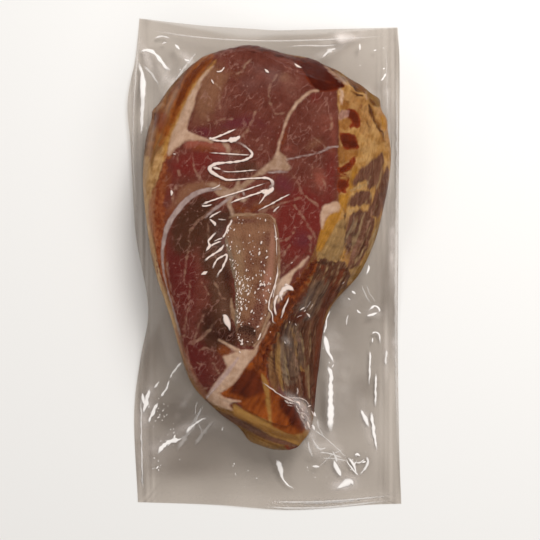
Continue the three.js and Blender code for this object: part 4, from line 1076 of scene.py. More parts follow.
# Where the empty film looks greyer, in part a painted shade beside the joint, and lighter where
# a strength is below zero, a painted light; and where it looks milky from creases too fine to
# draw, in part a painted sheen: (u, v, reach along, reach across, turn, strength). Then the seal's
# bands
SLACK_AND_SHADE = [
    (262, 30, 170, 18, 0, -0.14), (150, 90, 22, 60, 0, -0.26), (386, 62, 22, 44, 0, -0.18),
    (388, 190, 14, 80, 0, 0.1), (352, 325, 28, 52, 0, 0.27), (352, 405, 22, 30, 0, 0.14),
    (388, 430, 14, 80, 0, -0.1), (147, 310, 13, 90, 0, 0.32), (200, 446, 50, 24, 14, 0.6),
    (176, 414, 22, 16, 0, 0.4), (150, 450, 22, 26, 0, 0.16), (300, 464, 44, 14, 0, 0.14),
    (225, 502, 90, 9, 0, -0.12), (340, 500, 60, 8, 0, -0.12), (300, 36, 50, 9, 0, 0.15),
    (144, 362, 10, 22, 0, 0.5), (168, 412, 14, 14, 0, 0.5), (186, 468, 34, 12, 0, 0.5),
    (388, 295, 12, 34, 0, 0.4), (366, 386, 12, 12, 0, 0.4),
]
MILK_AND_SHEEN = [
    (345, 37, 15, 5, -14, 0.8), (330, 51, 12, 3, -22, 0.35), (148, 60, 20, 4, 65, 0.3),
    (160, 70, 22, 5, 55, 0.3), (186, 58, 9, 4, 40, 0.5), (172, 88, 26, 5, 118, 0.4),
    (163, 82, 18, 3, 112, 0.25), (346, 484, 13, 6, -12, 0.8), (146, 408, 22, 6, 105, 0.45),
    (331, 390, 52, 5, 90, 0.25), (368, 424, 26, 6, 76, 0.3), (376, 312, 12, 5, -10, 0.25),
    (392, 250, 34, 3, 90, 0.5), (394, 345, 14, 3, 90, 0.5), (386, 362, 20, 3, 90, 0.3),
    (172, 440, 26, 5, -28, 0.3), (336, 340, 10, 5, 60, 0.25), (190, 425, 16, 4, -22, 0.3),
    (338, 462, 5, 16, 0, 0.3), (300, 440, 20, 4, 40, 0.25), (320, 446, 14, 7, 50, 0.25),
    (312, 438, 8, 4, 60, 0.25), (388, 100, 30, 4, 85, 0.2), (318, 428, 22, 5, 52, 0.32),
    (372, 96, 10, 4, 40, 0.2), (184, 404, 14, 3, 120, 0.2), (168, 345, 50, 8, 75, 0.13),
    (212, 424, 18, 7, 30, 0.14), (152, 452, 18, 22, 0, 0.12), (343, 395, 6, 24, 0, 0.16),
    (347, 300, 14, 8, 120, 0.12), (344, 362, 8, 14, 0, 0.12),
]
SEAL = [[(270, 503, 3), (300, 504, 3.4), (340, 502.5, 3.4), (384, 498, 2.4)]]
FAINT_SEAL = [[(150, 493, 4), (205, 496, 4), (262, 499, 4), (330, 499, 4), (396, 493, 4)]]
MARGIN_SLACK = 0.24
# The same on the joint: where the film is bunched, and where it stands off the lean and looks
# milky, in part a painted sheen
JOINT_SLACK = [
    (292, 400, 9, 3, 25, 0.5), (303, 407, 8, 4, 50, 0.5), (310, 419, 10, 3.5, 70, 0.5),
    (305, 301, 13, 6, 120, 0.1), (291, 345, 16, 5, 85, 0.15),
]
JOINT_MILK_AND_SHEEN = [
    (250, 84, 10, 8, 0, 0.03), (274, 77, 8, 12, 20, 0.04), (262, 70, 16, 5, 20, 0.03),
    (296, 401, 12, 3.6, 35, 0.4), (305, 412, 11, 5.4, 62, 0.36), (309, 426, 9, 4, 72, 0.4),
    (184, 66, 6, 3, -50, 0.2), (305, 303, 10, 4, 120, 0.06), (303, 308, 3, 2, 0, 0.12),
    (308, 317, 3, 2, 0, 0.12), (287, 341, 4, 2.5, 60, 0.3), (344, 79, 8, 2, 36, 0.12),
    (172, 100, 22, 2.4, 116, 0.14), (154, 128, 14, 2, 100, 0.14), (226, 160, 14, 10, 0, 0.03),
    (222, 240, 8, 20, 0, 0.04), (279, 290, 5, 14, 10, 0.08),
]
CLINGING_SLACK = 0.01

# A fold: its height, how its path wanders in pixels and its width varies, its least half width,
# its pointed ends in half widths, its depth below as a share of its height, and its ends' fade
FOLD_HEIGHT = 0.45
FOLD_WANDER = 0.25
FOLD_UNEVENNESS = 0.25
FOLD_LEAST_WIDTH = 0.25
FOLD_POINT = 2.6
FOLD_BELOW = 0.3
FOLD_FADE = 0.2
FOLD_AROUND, FOLD_STEP, FOLD_FEWEST_STEPS = 10, 0.8, 8
GLINT_AROUND, GLINT_STEPS = 6, 4
DRAPE_REACH = 1.3
JOINT_SPREAD = 1.1
MARGIN_SPREAD = 1.3


def drape(u, v, surface):
    """Places and normals on a surface where it shows at (u, v): means of its points near there,
    each weighed exp(-(distance / DRAPE_REACH)^2)."""
    su, sv, height, normals = surface
    near = (su > u.min() - 5) & (su < u.max() + 5) & (sv > v.min() - 5) & (sv < v.max() + 5)
    gap = (u[:, None] - su[near]) ** 2 + (v[:, None] - sv[near]) ** 2
    weight = np.exp(-gap / DRAPE_REACH**2) + 1e-12
    weight /= weight.sum(1, keepdims=True)
    normal = weight @ normals[near]
    normal /= np.linalg.norm(normal, axis=1, keepdims=True)
    return from_photo(u, v, weight @ height[near]), normal


def fold(path, white, surface, spread, glint=False):
    """A fold: a lens-shaped section carried along a path on the film, its half width that of
    the path, uneven and drawn to a point at both ends. Its painted highlight, the white that
    shows, is the sine of the angle round the section to the power 1.3, full at the top."""
    length = np.hypot(*np.diff(np.array(path)[:, :2], axis=0).T).sum()
    around, steps = FOLD_AROUND, max(FOLD_FEWEST_STEPS, int(length / FOLD_STEP))
    if glint:
        around, steps = GLINT_AROUND, GLINT_STEPS
    share = np.linspace(0, 1, steps + 1)
    line = open_curve(path, share)
    line[:, 0] += FOLD_WANDER * rumple(line[:, 0], line[:, 1], 7, seed=51, waves=6)
    middle, normal = drape(line[:, 0], line[:, 1], surface)
    side = np.cross(normal, np.gradient(middle, axis=0))
    side /= np.maximum(np.linalg.norm(side, axis=1, keepdims=True), 1e-9)
    wide = spread * np.maximum(line[:, 2], FOLD_LEAST_WIDTH) * MM_PER_PIXEL
    wide = wide * (1 + FOLD_UNEVENNESS * rumple(line[:, 0], line[:, 1], 6, seed=53, waves=6))
    from_end = np.minimum(share, 1 - share)
    run = from_end * max(length, 2) * MM_PER_PIXEL
    wide = wide * np.clip(run / (FOLD_POINT * wide), 0, 1) ** 0.7
    angle = 2 * math.pi * (np.arange(around) + 0.5) / around
    sine = np.sin(angle)
    across = side[:, None] * (wide[:, None] * np.cos(angle))[..., None]
    rise = FOLD_HEIGHT * np.minimum(wide, 1)[:, None] * np.where(sine > 0, sine, FOLD_BELOW * sine)
    grid = middle[:, None] + across + normal[:, None] * rise[..., None]
    fade = smooth_step(from_end, 0, FOLD_FADE)
    # the painted highlight: white over the top half of the section, faded at the ends
    crest_highlight = white * np.clip(sine, 0, 1) ** 1.3 * fade[:, None]
    return grid.reshape(-1, 3), grid_triangles(steps + 1, around), crest_highlight.reshape(-1)


def make_folds(name, folds, glints, spread, surface, material):
    """All the folds of a film, with their painted highlights, as one mesh on its surface, the
    glints of few faces each.
    """
    points, triangles = surface
    normals = normals_of(points, triangles)
    up = normals[:, 2] > 0.05
    surface = (*to_photo(points[up]), points[up, 2], normals[up])
    parts = [fold(path, white, surface, spread) for path, white in folds]
    parts += [fold(path, white, surface, spread, glint=True) for path, white in glints]
    points, triangles, crest_highlight = zip(*parts)
    start = np.cumsum([0] + [len(part) for part in points[:-1]])
    triangles = np.concatenate([part + first for part, first in zip(triangles, start)])
    points, triangles, (crest_highlight,) = weld(np.concatenate(points), triangles, [np.concatenate(crest_highlight)])
    points[:, 2] = np.maximum(points[:, 2], FILM_FLOOR_GAP)
    return make_piece(name, points, triangles, material, {"crest_highlight": crest_highlight})


def short_folds(u, v, turn, reach, wide, white):
    """Straight folds about (u, v), each reaching as far to both sides."""
    du, dv = reach * np.cos(turn), reach * np.sin(turn)
    return [([(a - c, b - d, s), (a, b, s), (a + c, b + d, s)], w)
            for a, b, c, d, s, w in zip(u, v, du, dv, wide, white)]


# Painted glints over the bone, as short white folds: how many, how many places are tried, and
# where in millimetres they crowd besides along its left edge, as soft patches
BONE_GLINTS = 230
GLINT_TRIES = 12 * BONE_GLINTS
GLINT_SEED = 8
GLINT_CROWDS = [(-18, -26, 8, 22, 0, 0.4), (-2, -20, 5, 18, 0, 0.2)]
LEFT_OF_BONE = -19


def bone_glints():
    """Short folds with painted glints, white, where the film bridges the bone's pores, more of them
    low and to the left.
    """
    rng = np.random.default_rng(GLINT_SEED)
    x = rng.uniform(-36, 12, GLINT_TRIES)
    y = rng.uniform(-74, 44, GLINT_TRIES)
    inside = region_depth([BONE_OUTLINE], x, y)
    edge = np.exp(-((inside - 2.5) / 4.5) ** 2) * (x < LEFT_OF_BONE)
    edge = edge * mix(0.5, 1, smooth_step(-y, -20, 20))
    (hx, hy), (rx, ry), _ = MARROW_HOLE
    chance = 0.08 + 0.8 * edge + stains(GLINT_CROWDS, x, y)
    chance *= 1 - stains([(hx, hy, rx, ry, 0, 0.9)], x, y)
    keep = (inside > 1) & (rng.uniform(0, 1, x.size) < chance)
    spots = np.stack([x, y, np.full_like(x, BUTT_HEIGHT)], axis=1)[keep][:BONE_GLINTS]
    u, v = to_photo(spots)
    size = 0.6 + 1.3 * rng.uniform(0, 1, u.size) ** 2.6
    length = size * rng.uniform(1.6, 3.4, u.size)
    turn = np.radians(rng.normal(68, 26, u.size))
    return short_folds(u, v, -turn, length / 2, size, rng.uniform(0.85, 1.2, u.size))


# Clusters of painted glints, as tiny white folds, in the slack film: (u, v, reach, count)
SPECKS = [(160, 412, 5, 16), (156, 467, 4, 9), (174, 432, 5, 7), (148, 404, 3, 5), (233, 464, 1.5, 3),
          (251, 479, 5, 4), (354, 460, 6, 8), (326, 346, 2, 4), (309, 470, 3, 3), (166, 441, 4, 5)]
SPECK_SEED = 12
SPECK_LENGTH = 1.4


def margin_specks():
    """Tiny folds with painted glints in clusters, spread about each as a normal distribution."""
    rng = np.random.default_rng(SPECK_SEED)
    specks = []
    for u, v, reach, count in SPECKS:
        spots = rng.normal((u, v), reach, (count, 2))
        turn, size, white = rng.uniform((0, 0.35, 0.6), (math.pi, 0.9, 1), (count, 3)).T
        specks += short_folds(*spots.T, turn, SPECK_LENGTH * size, size, white)
    return specks


BUNCH_FOLDS = 46
BUNCH_SEED = 6
BUNCH_START, BUNCH_END = (286, 398), (312, 434)


def bunched_folds():
    """Short crossing folds with painted highlights where the film is gathered beside the end of
    the shank, along a line that bows by a sine."""
    rng = np.random.default_rng(BUNCH_SEED)
    share = rng.uniform(0.1, 1, BUNCH_FOLDS)
    bow = np.sin(math.pi * share)
    u = mix(BUNCH_START[0], BUNCH_END[0], share) + rng.normal(0, 2.8, BUNCH_FOLDS) + 3 * bow
    v = mix(BUNCH_START[1], BUNCH_END[1], share) + rng.normal(0, 1.8, BUNCH_FOLDS) - 5 * bow
    turn = mix(0.5, 1.35, share) + rng.normal(0, 0.32, BUNCH_FOLDS)
    reach = rng.uniform(1, 3.8, BUNCH_FOLDS)
    wide = rng.uniform(0.4, 1.5, BUNCH_FOLDS)
    return short_folds(u, v, turn, reach, wide, rng.uniform(0.05, 0.8, BUNCH_FOLDS) ** 1.5)


def make_joint_film(material):
    """The film sucked on to the joint: its form, rumpled a little."""
    points, triangles, (rank,) = joint_form(rows=400, lower=10, upper=26, across=134, under=10)
    x, y, _ = points.T
    upper = smooth_step(rank, 0, 0.3)
    lift = np.maximum(0.12 * rumple(x, y, 24, seed=21) + 0.04 * rumple(x, y, 7, seed=22), -0.3)
    points = points + normals_of(points, triangles) * (lift * upper)[:, None]
    points[:, 2] = np.maximum(points[:, 2], JOINT_FILM_FLOOR_GAP)
    u, v = to_photo(points)
    # the joint's film: greyer where it is bunched, whiter in part as a painted sheen
    looks = {"slack_and_shade": CLINGING_SLACK + stains(JOINT_SLACK, u, v) * upper,
             "milk_and_sheen": stains(JOINT_MILK_AND_SHEEN, u, v) * upper, "seal": np.zeros_like(u)}
    return make_piece("film_on_joint", points, triangles, material, looks), (points, triangles)


def make_margin_film(material):
    """The empty film: two sheets as one, from the joint's widest line down a skirt of
    exp(-(distance / reach)^power) and flat out to the seal, with pleats, slackness, and painted
    shade and sheen. The lower sheet has a row for every fifth of the upper one."""
    edge, station = [], []
    for outline, start, end, steps in (
        (POUCH_TOP, TOP_LEFT, TOP_RIGHT, END_STEPS), (POUCH_RIGHT, TOP_RIGHT, BOTTOM_RIGHT, SIDE_STEPS),
        (POUCH_BOTTOM, BOTTOM_RIGHT, BOTTOM_LEFT, END_STEPS),
        (POUCH_LEFT, BOTTOM_LEFT, TOP_LEFT + STATIONS, SIDE_STEPS),
    ):
        share = np.arange(steps) / steps
        edge.append(open_curve(outline, share))
        station.append(mix(start, end, share))
    edge, station = np.concatenate(edge), np.concatenate(station)
    waist = pushed(closed_curve(WAIST_OUTLINE, station))
    width = np.linalg.norm(edge - waist, axis=1)[:, None]
    share = np.linspace(0, 1, SHEET_ROWS)[None, :] ** SHEET_CROWDING
    plan = mix(waist[:, None], edge[:, None], share[..., None])
    reach = share * width / SKIRT_REACH
    skirt = np.exp(-(reach**SKIRT_POWER))
    waist_z = (WAIST_SHARE * face_level(waist[:, 1]))[:, None]
    ripple = RIPPLE_HEIGHT * (0.5 + 0.5 * np.sin(2 * math.pi * RIPPLE_COUNT * station / STATIONS))
    lowest = FILM_PAIR + FILM_FLOOR_GAP
    z = mix(lowest, waist_z, skirt) + ripple[:, None] * reach * skirt
    x, y = plan[..., 0], plan[..., 1]
    loose = smooth_step(reach, 0.1, 1.2) * smooth_step((1 - share) * width, 2, 14)
    waves = 0.5 * rumple(x, y, 55, seed=31) + 0.12 * rumple(x, y, 16, seed=32) + 0.4
    z = np.maximum(z + loose * np.maximum(waves, 0), lowest)
    grid = np.concatenate([with_z(plan, z), with_z(plan, z - FILM_PAIR)[:, ::-5]], axis=1)
    triangles = grid_triangles(grid.shape[0], grid.shape[1], wrap_rows=True)
    points, triangles, _ = weld(grid.reshape(-1, 3), triangles, [])
    u, v = to_photo(points)
    # streaks down both long sides, where the film was drawn tight as it was welded: clearer film
    # with a little painted sheen along some, greyer film with painted shade along others
    drawn = smooth_step(np.abs(u - 266), 104, 122) * rumple(u, 0.05 * v, 7, seed=35)
    # greyer with painted shade, lighter with painted light, whiter with painted sheen, by the patches
    slack_and_shade = MARGIN_SLACK + stains(SLACK_AND_SHADE, u, v) + 0.04 * rumple(u, v, 60, seed=33) - 0.25 * drawn
    milk_and_sheen = stains(MILK_AND_SHEEN, u, v) * (0.85 + 0.35 * rumple(u, v, 17, seed=34)) + 0.05 * np.maximum(drawn, 0)
    seal = 0.4 * smooth_step(band_depth(SEAL, u, v), 0, 1)
    seal = seal + 0.08 * smooth_step(band_depth(FAINT_SEAL, u, v), 0, 2)
    looks = {"slack_and_shade": np.clip(slack_and_shade, 0, 1), "milk_and_sheen": np.clip(milk_and_sheen, 0, 1), "seal": seal}
    return make_piece("film_margin", points, triangles, material, looks), (points, triangles)


def colour(code):
    """Linear colour of an sRGB hex value."""
    parts = [int(code[k:k + 2], 16) / 255 for k in (1, 3, 5)]
    linear = [p / 12.92 if p <= 0.04045 else ((p + 0.055) / 1.055) ** 2.4 for p in parts]
    return (*linear, 1.0)


# Which output of a node with several is used, and what a kind of node is always set to here.
# A mix takes its share and two colours at 0, 6 and 7. A range map takes a value, the two
# values that it comes from and the two that it goes to at 0 to 4
OUTPUTS = {"Attribute": "Fac", "TexCoord": "Object", "LayerWeight": "Facing", "Mix": 2}
SETTINGS = {"Mix": {"data_type": "RGBA"}}
SMOOTHLY = {"interpolation_type": "SMOOTHSTEP"}


def add(tree, kind, inputs=None, **settings):
    """Adds a node and gives its output. inputs maps a socket's name or number to a value or to
    another output."""
    made = tree.nodes.new("ShaderNode" + kind)
    for key, value in {**SETTINGS.get(kind, {}), **settings}.items():
        setattr(made, key, value)
    for key, value in (inputs or {}).items():
        if isinstance(value, bpy.types.NodeSocket):
            tree.links.new(value, made.inputs[key])
        else:
            made.inputs[key].default_value = value
    return made.outputs[OUTPUTS.get(kind, 0)] if len(made.outputs) else None


def new_material(name):
    """An empty material and its node tree."""
    material = bpy.data.materials.new(name)
    material.use_nodes = True
    material.node_tree.nodes.clear()
    return material, material.node_tree


# Layers over the lean, in this order: attribute, strength, colour at the rim and in the core,
# how deep the core starts in pixels, how far noise carries the edge, softness of the edge, size
# of the mottle in mm, its grain (a turn, the flow or none), and how strongly fibres show
TISSUES = [
    ("skin", 1, "#8f6a3c", "#6c4322", 0, 2.4, 2.0, 6, "flow", 0.3),
    ("smoked_edge", 1, "#96602f", "#7a4420", 0, 2.0, 2.0, 5, "flow", 0.15),
    ("smoked_core", 0.9, "#88421e", "#6c3010", 0, 2.0, 2.4, 5, "flow", 0),
    ("bridged_edge", 0.35, "#8a6244", "#74482c", 0, 1.2, 2.0, 5, "flow", 0),
    ("bridged_tan", 0.7, "#b28c6c", "#a07856", 0, 1.2, 1.8, 5, "flow", 0),
    ("tan_edge", 1, "#d0a976", "#b48c5a", 0, 1.0, 1.8, 5, "flow", 0.1),
    ("veiled_edge", 0.85, "#8e5c48", "#7c4b38", 0, 1.2, 2.0, 5, "flow", 0),
    ("brown_rim", 0.85, "#b07650", "#9a6042", 0, 2.0, 2.4, 5, "flow", 0),
    ("tan_fat", 1, "#c09866", "#a67c4a", 0, 1.2, 2.4, 5, None, 0),
    ("yellow_edge", 1, "#ba8a48", "#9c6a2e", 0, 1.2, 2.2, 5, None, 0),
    ("flank_fat", 1, "#b48c56", "#9b6e38", 0, 1.2, 1.4, 8, None, 0.14),
    ("brown_fat", 0.42, "#996438", "#7e4e26", 0, 4.0, 3.0, 6, None, 0.12),
    ("olive_fat", 1, "#9f7e50", "#8a6a42", 0, 1.0, 1.2, 6, "flow", 0.16),
    ("olive_skin", 1, "#86622a", "#704a14", 0, 1.0, 1.2, 5, "flow", 0.1),
    ("skin_shade", 0.95, "#683a10", "#502808", 0, 1.2, 1.4, 5, "flow", 0),
    ("brown_patch", 0.8, "#925c28", "#7c4a1c", 0, 1.6, 1.6, 6, "flow", 0.1),
    ("yellow_patch", 1, "#aa782e", "#926022", 0, 1.2, 1.4, 6, "flow", 0.1),
    ("flank_lean", 1, "#704a38", "#5a3828", 0, 2.6, 1.6, 5, "flow", 0.22),
    ("hollow_lean", 1, "#66422f", "#48291c", 0, 2.0, 1.2, 4, "flow", 0.34),
    ("grey_sinew", 0.6, "#75604c", "#56443a", 0, 2.0, 2.0, 4, "flow", 0.3),
    ("pale_sinew", 0.75, "#937e66", "#745e4a", 0, 1.6, 1.4, 3, "flow", 0.1),
    ("brown_edge", 0.9, "#6b3520", "#4c2618", 0, 1.6, 1.4, 3, "flow", 0),
    ("tan_lean", 0.9, "#8a6540", "#6e482a", 0, 1.6, 1.6, 4, "flow", 0.2),
    ("orange_lean", 1, "#90491a", "#713410", 0, 2.0, 1.2, 6, 62, 0),
    ("dried_core", 0.95, "#622812", "#3e140a", 0, 2.4, 3.4, 7, 62, 0),
    ("tan_streak", 0.85, "#a07c48", "#84582c", 0, 1.2, 1.4, 3, "flow", 0),
    ("yellow_fat", 1, "#a67c42", "#8e602c", 0, 1.2, 1.6, 5, "flow", 0.1),
    ("slab_fat", 1, "#86643a", "#6a4822", 0, 1.6, 1.4, 5, "flow", 0.1),
    ("brown_layer", 1, "#6a4736", "#543624", 0, 1.0, 1.0, 5, "flow", 0.2),
    # painted shade in the crevices, slits and cracks, which are sunk as well
    ("crevice_shade", 0.9, "#523222", "#3e2217", 0, 0.8, 0.9, 4, None, 0),
    ("rind", 1, "#924e1c", "#6c3110", 4, 1.4, 2.0, 7, None, 0),
    ("left_crust", 1, "#90502e", "#702e14", 0, 4.0, 2.4, 4, None, 0),
    ("rim_crust", 1, "#84421c", "#5a2810", 0, 4.0, 2.0, 5, None, 0),
    ("crust_shade", 0.9, "#5c2614", "#3c1007", 0, 4.0, 2.0, 4, None, 0),
    ("dried_patch", 1, "#7c3014", "#5e220e", 3, 1.2, 1.1, 6, None, 0),
    # dark facet: dried crust, darkened further by painted shade where it slopes away
    ("dark_facet", 1, "#66230a", "#400f03", 2, 1.0, 1.0, 8, None, 0),
    ("top_rim", 1, "#5a2210", "#3c1409", 0, 1.2, 1.1, 4, None, 0),
    ("bone_sheath", 0.85, "#aa8b6e", "#8e6c50", 0, 0.9, 1.2, 5, None, 0),
    ("vein", 0.5, "#ab8a70", "#94695a", 0, 1.7, 1.2, 4.4, None, 0),
    ("dull_fat", 1, "#ac8e78", "#98785f", 0, 1.0, 1.7, 7, None, 0),
    ("white_fat", 1, "#c6a68d", "#b29075", 0, 0.8, 1.6, 7, None, 0),
    ("pink_film", 0.85, "#a47c70", "#8c6258", 0, 1.6, 1.4, 4, None, 0),
    ("pale_seam", 0.8, "#bca29a", "#b09690", 0, 0.8, 1.4, 6, None, 0),
    # painted sheen of the film's creases over the flank
    ("film_crease_sheen", 0.7, "#ab9280", "#97796a", 0, 0.6, 0.9, 4, None, 0),
    ("membrane", 1, "#ac9890", "#947f78", 0, 0.6, 0.9, 6, None, 0),
    ("strand", 0.65, "#a48c66", "#8e744e", 0, 0.8, 0.8, 4, "flow", 0),
]
# Those whose surface is smooth, so that the grain darkens it little
EVEN_TISSUES = ("white_fat", "dull_fat", "membrane", "bone_sheath", "vein", "yellow_fat", "tan_edge",
                "yellow_edge", "pale_seam", "film_crease_sheen")
MARBLING = "#a37a6c"
GRAIN_STRETCH = 5.0


def meat_material():
    """Cured, smoked pork, sawn and dried a little: a mottled wine red to brown lean, matt and
    moist by turns, with marbling, under layers of fat, crust and skin. The film wets it, so it
    has hardly a gloss of its own. Its fibres, under 0.1 mm, are too fine to show, and so they
    are drawn as bundles of 0.8 to 1.8 mm. Shade is painted into some tones, crevices and the
    dark facet, and a sheen of the film into pale veils and lines."""
    material, tree = new_material("cured_smoked_pork")
    place = add(tree, "TexCoord")
    flow = add(tree, "CombineXYZ", {
        axis: add(tree, "Attribute", attribute_name=name) for axis, name in enumerate(("across", "along"))})

    def mottle(size_mm, detail=3.0, grain=None, stretch=GRAIN_STRETCH):
        """Noise of a size, even, or drawn out along the flow or along a turn in degrees."""
        source, scale = place, 1 / (size_mm * MM)
        if grain == "flow":
            source, scale = flow, 1 / size_mm
        elif grain is not None:
            source = add(tree, "Mapping", {
                "Vector": place, "Rotation": (0, 0, math.radians(grain)),
                "Scale": (stretch, 1, 1)}, vector_type="TEXTURE")
        return add(tree, "TexNoise", {"Vector": source, "Scale": scale, "Detail": detail})

    def wander(value, noise, reach):
        """A value carried up and down by a noise."""
        swing = add(tree, "Math", {0: noise, 1: 0.5}, operation="SUBTRACT")
        swing = add(tree, "Math", {0: swing, 1: reach}, operation="MULTIPLY")
        return add(tree, "Math", {0: value, 1: swing}, operation="ADD")

    def tinted(look, value, low, high, code, top=1.0):
        """Another colour over the look where a value rises from low to high."""
        share = add(tree, "MapRange", {0: value, 1: low, 2: high, 4: top}, **SMOOTHLY)
        return add(tree, "Mix", {0: share, 6: look, 7: colour(code)})

    coarse, grain = mottle(9), mottle(1.8, 4, 66)
    look = tinted(colour("#612f24"), coarse, 0.35, 0.7, "#6e3b2f")
    for name, (tint, _) in TONES.items():
        strength = add(tree, "Attribute", attribute_name=name)
        uneven = mottle(1.8, 4, 78) if name == "milky_sheen" else mottle(5)
        look = tinted(look, wander(strength, uneven, 0.6), 0.12, 0.85, tint)
    look = tinted(look, grain, 0.46, 0.8, "#431c17", 0.4)
    # Marbling: pale threads where a slow noise passes its middle, and flecks, both in patches
    threads = add(tree, "Math", {0: mottle(8, 2, 60, stretch=2), 1: 0.5}, operation="SUBTRACT")
    threads = add(tree, "Math", {0: threads}, operation="ABSOLUTE")
    flecks = add(tree, "TexVoronoi", {"Vector": place, "Scale": 1 / (4 * MM)})
    for pattern, none, full, patch_size, start, top in (
        (threads, 0.03, 0.0, 14, 0.42, 0.42), (flecks, 0.26, 0.08, 11, 0.4, 0.45),
    ):
        pattern = add(tree, "MapRange", {0: pattern, 1: none, 2: full}, **SMOOTHLY)
        patches = add(tree, "MapRange", {0: mottle(patch_size, 1), 1: start, 2: 0.6, 4: top}, **SMOOTHLY)
        fat = add(tree, "Math", {0: pattern, 1: patches}, operation="MULTIPLY")
        look = add(tree, "Mix", {0: fat, 6: look, 7: colour(MARBLING)})
    both = add(tree, "Math", {0: grain, 1: mottle(0.8, 2)}, operation="ADD")
    dim = tinted(colour("#cdc6c4"), both, 0.72, 1.28, "#ffffff")
    even = add(tree, "Mix", {0: 0.35, 6: colour("#e7e4e3"), 7: dim})
    look = add(tree, "Mix", {0: 0.8, 6: look, 7: dim}, blend_type="MULTIPLY")
    fibre = mottle(1.5, 4, "flow")
    for name, strength, rim, core, core_depth, ragged, soft, size, turn, fibrous in TISSUES:
        depth = add(tree, "Attribute", attribute_name=name)
        edge = wander(depth, mottle(size * 0.9, 4, turn), ragged * 4)
        cover = add(tree, "MapRange", {0: edge, 1: -soft, 2: soft, 4: strength}, **SMOOTHLY)
        spots = mottle(size, 4, turn)
        if core_depth:
            spots = add(tree, "Math", {0: spots, 1: 0.7}, operation="MULTIPLY")
            deep = add(tree, "MapRange", {0: depth, 2: core_depth, 4: 0.3}, **SMOOTHLY)
            spots = add(tree, "Math", {0: spots, 1: deep}, operation="ADD")
        layer = tinted(colour(rim), spots, 0.34, 0.68, core)
        if fibrous:
            dark = add(tree, "MapRange", {0: fibre, 1: 0.52, 2: 0.34, 4: fibrous}, **SMOOTHLY)
            layer = add(tree, "Mix", {0: dark, 6: layer, 7: colour("#8c7668")}, blend_type="MULTIPLY")
            layer = tinted(layer, fibre, 0.56, 0.7, "#b0906c", fibrous)
        shade = even if name in EVEN_TISSUES else dim
        layer = add(tree, "Mix", {0: 0.8, 6: layer, 7: shade}, blend_type="MULTIPLY")
        look = add(tree, "Mix", {0: cover, 6: look, 7: layer})
    shader = add(tree, "BsdfPrincipled", {
        "Base Color": look, "IOR": 1.4,
        "Roughness": add(tree, "MapRange", {0: coarse, 1: 1.2, 2: -0.2}, **SMOOTHLY),
        "Specular IOR Level": 0.06,
        "Normal": add(tree, "Bump", {"Height": grain, "Strength": 0.35, "Distance": 0.4 * MM})})
    add(tree, "OutputMaterial", {"Surface": shader})
    return material


def bone_material():
    """Sawn spongy bone: a net of pale struts round brown marrow, grey at one wall and pink at
    the other, with a dark marrow hole. The struts are under 1 mm apart, too fine to show, and so
    they are drawn 2.2 mm apart."""
    material, tree = new_material("sawn_spongy_bone")
    place = add(tree, "TexCoord")
    cells = add(tree, "TexVoronoi", {"Vector": place, "Scale": 1 / (2.2 * MM)}, feature="DISTANCE_TO_EDGE")
    struts = add(tree, "MapRange", {0: cells, 1: 0.02, 2: 0.2, 3: 0.3, 4: 0.0})
    slow = add(tree, "TexNoise", {"Vector": place, "Scale": 1 / (8 * MM), "Detail": 4.0})
    patchy = add(tree, "MapRange", {0: slow, 1: 0.35, 2: 0.65})
    look = add(tree, "Mix", {0: patchy, 6: colour("#663f29"), 7: colour("#7e563d")})
    for name, (tint, _) in BONE_TONES.items():
        share = add(tree, "Attribute", attribute_name=name)
        share = add(tree, "MapRange", {0: share, 1: 0.1, 2: 0.9}, **SMOOTHLY)
        look = add(tree, "Mix", {0: share, 6: look, 7: colour(tint)})
    look = add(tree, "Mix", {0: struts, 6: look, 7: colour("#967058")})
    shader = add(tree, "BsdfPrincipled", {
        "Base Color": look, "Roughness": 0.55, "IOR": 1.5, "Specular IOR Level": 0.12,
        "Normal": add(tree, "Bump", {"Height": struts, "Strength": 0.5, "Distance": 0.4 * MM})})
    add(tree, "OutputMaterial", {"Surface": shader})
    return material


# Colours of the grey of slack film, with painted shade, and of the white of creases, with painted
# sheen, and how much of each shows
SLACK_AND_SHADE_GREY, SLACK_TOP = "#7c7066", 0.3
CREASE_AND_SHEEN_WHITE, MILK_TOP = "#efe6e0", 0.6


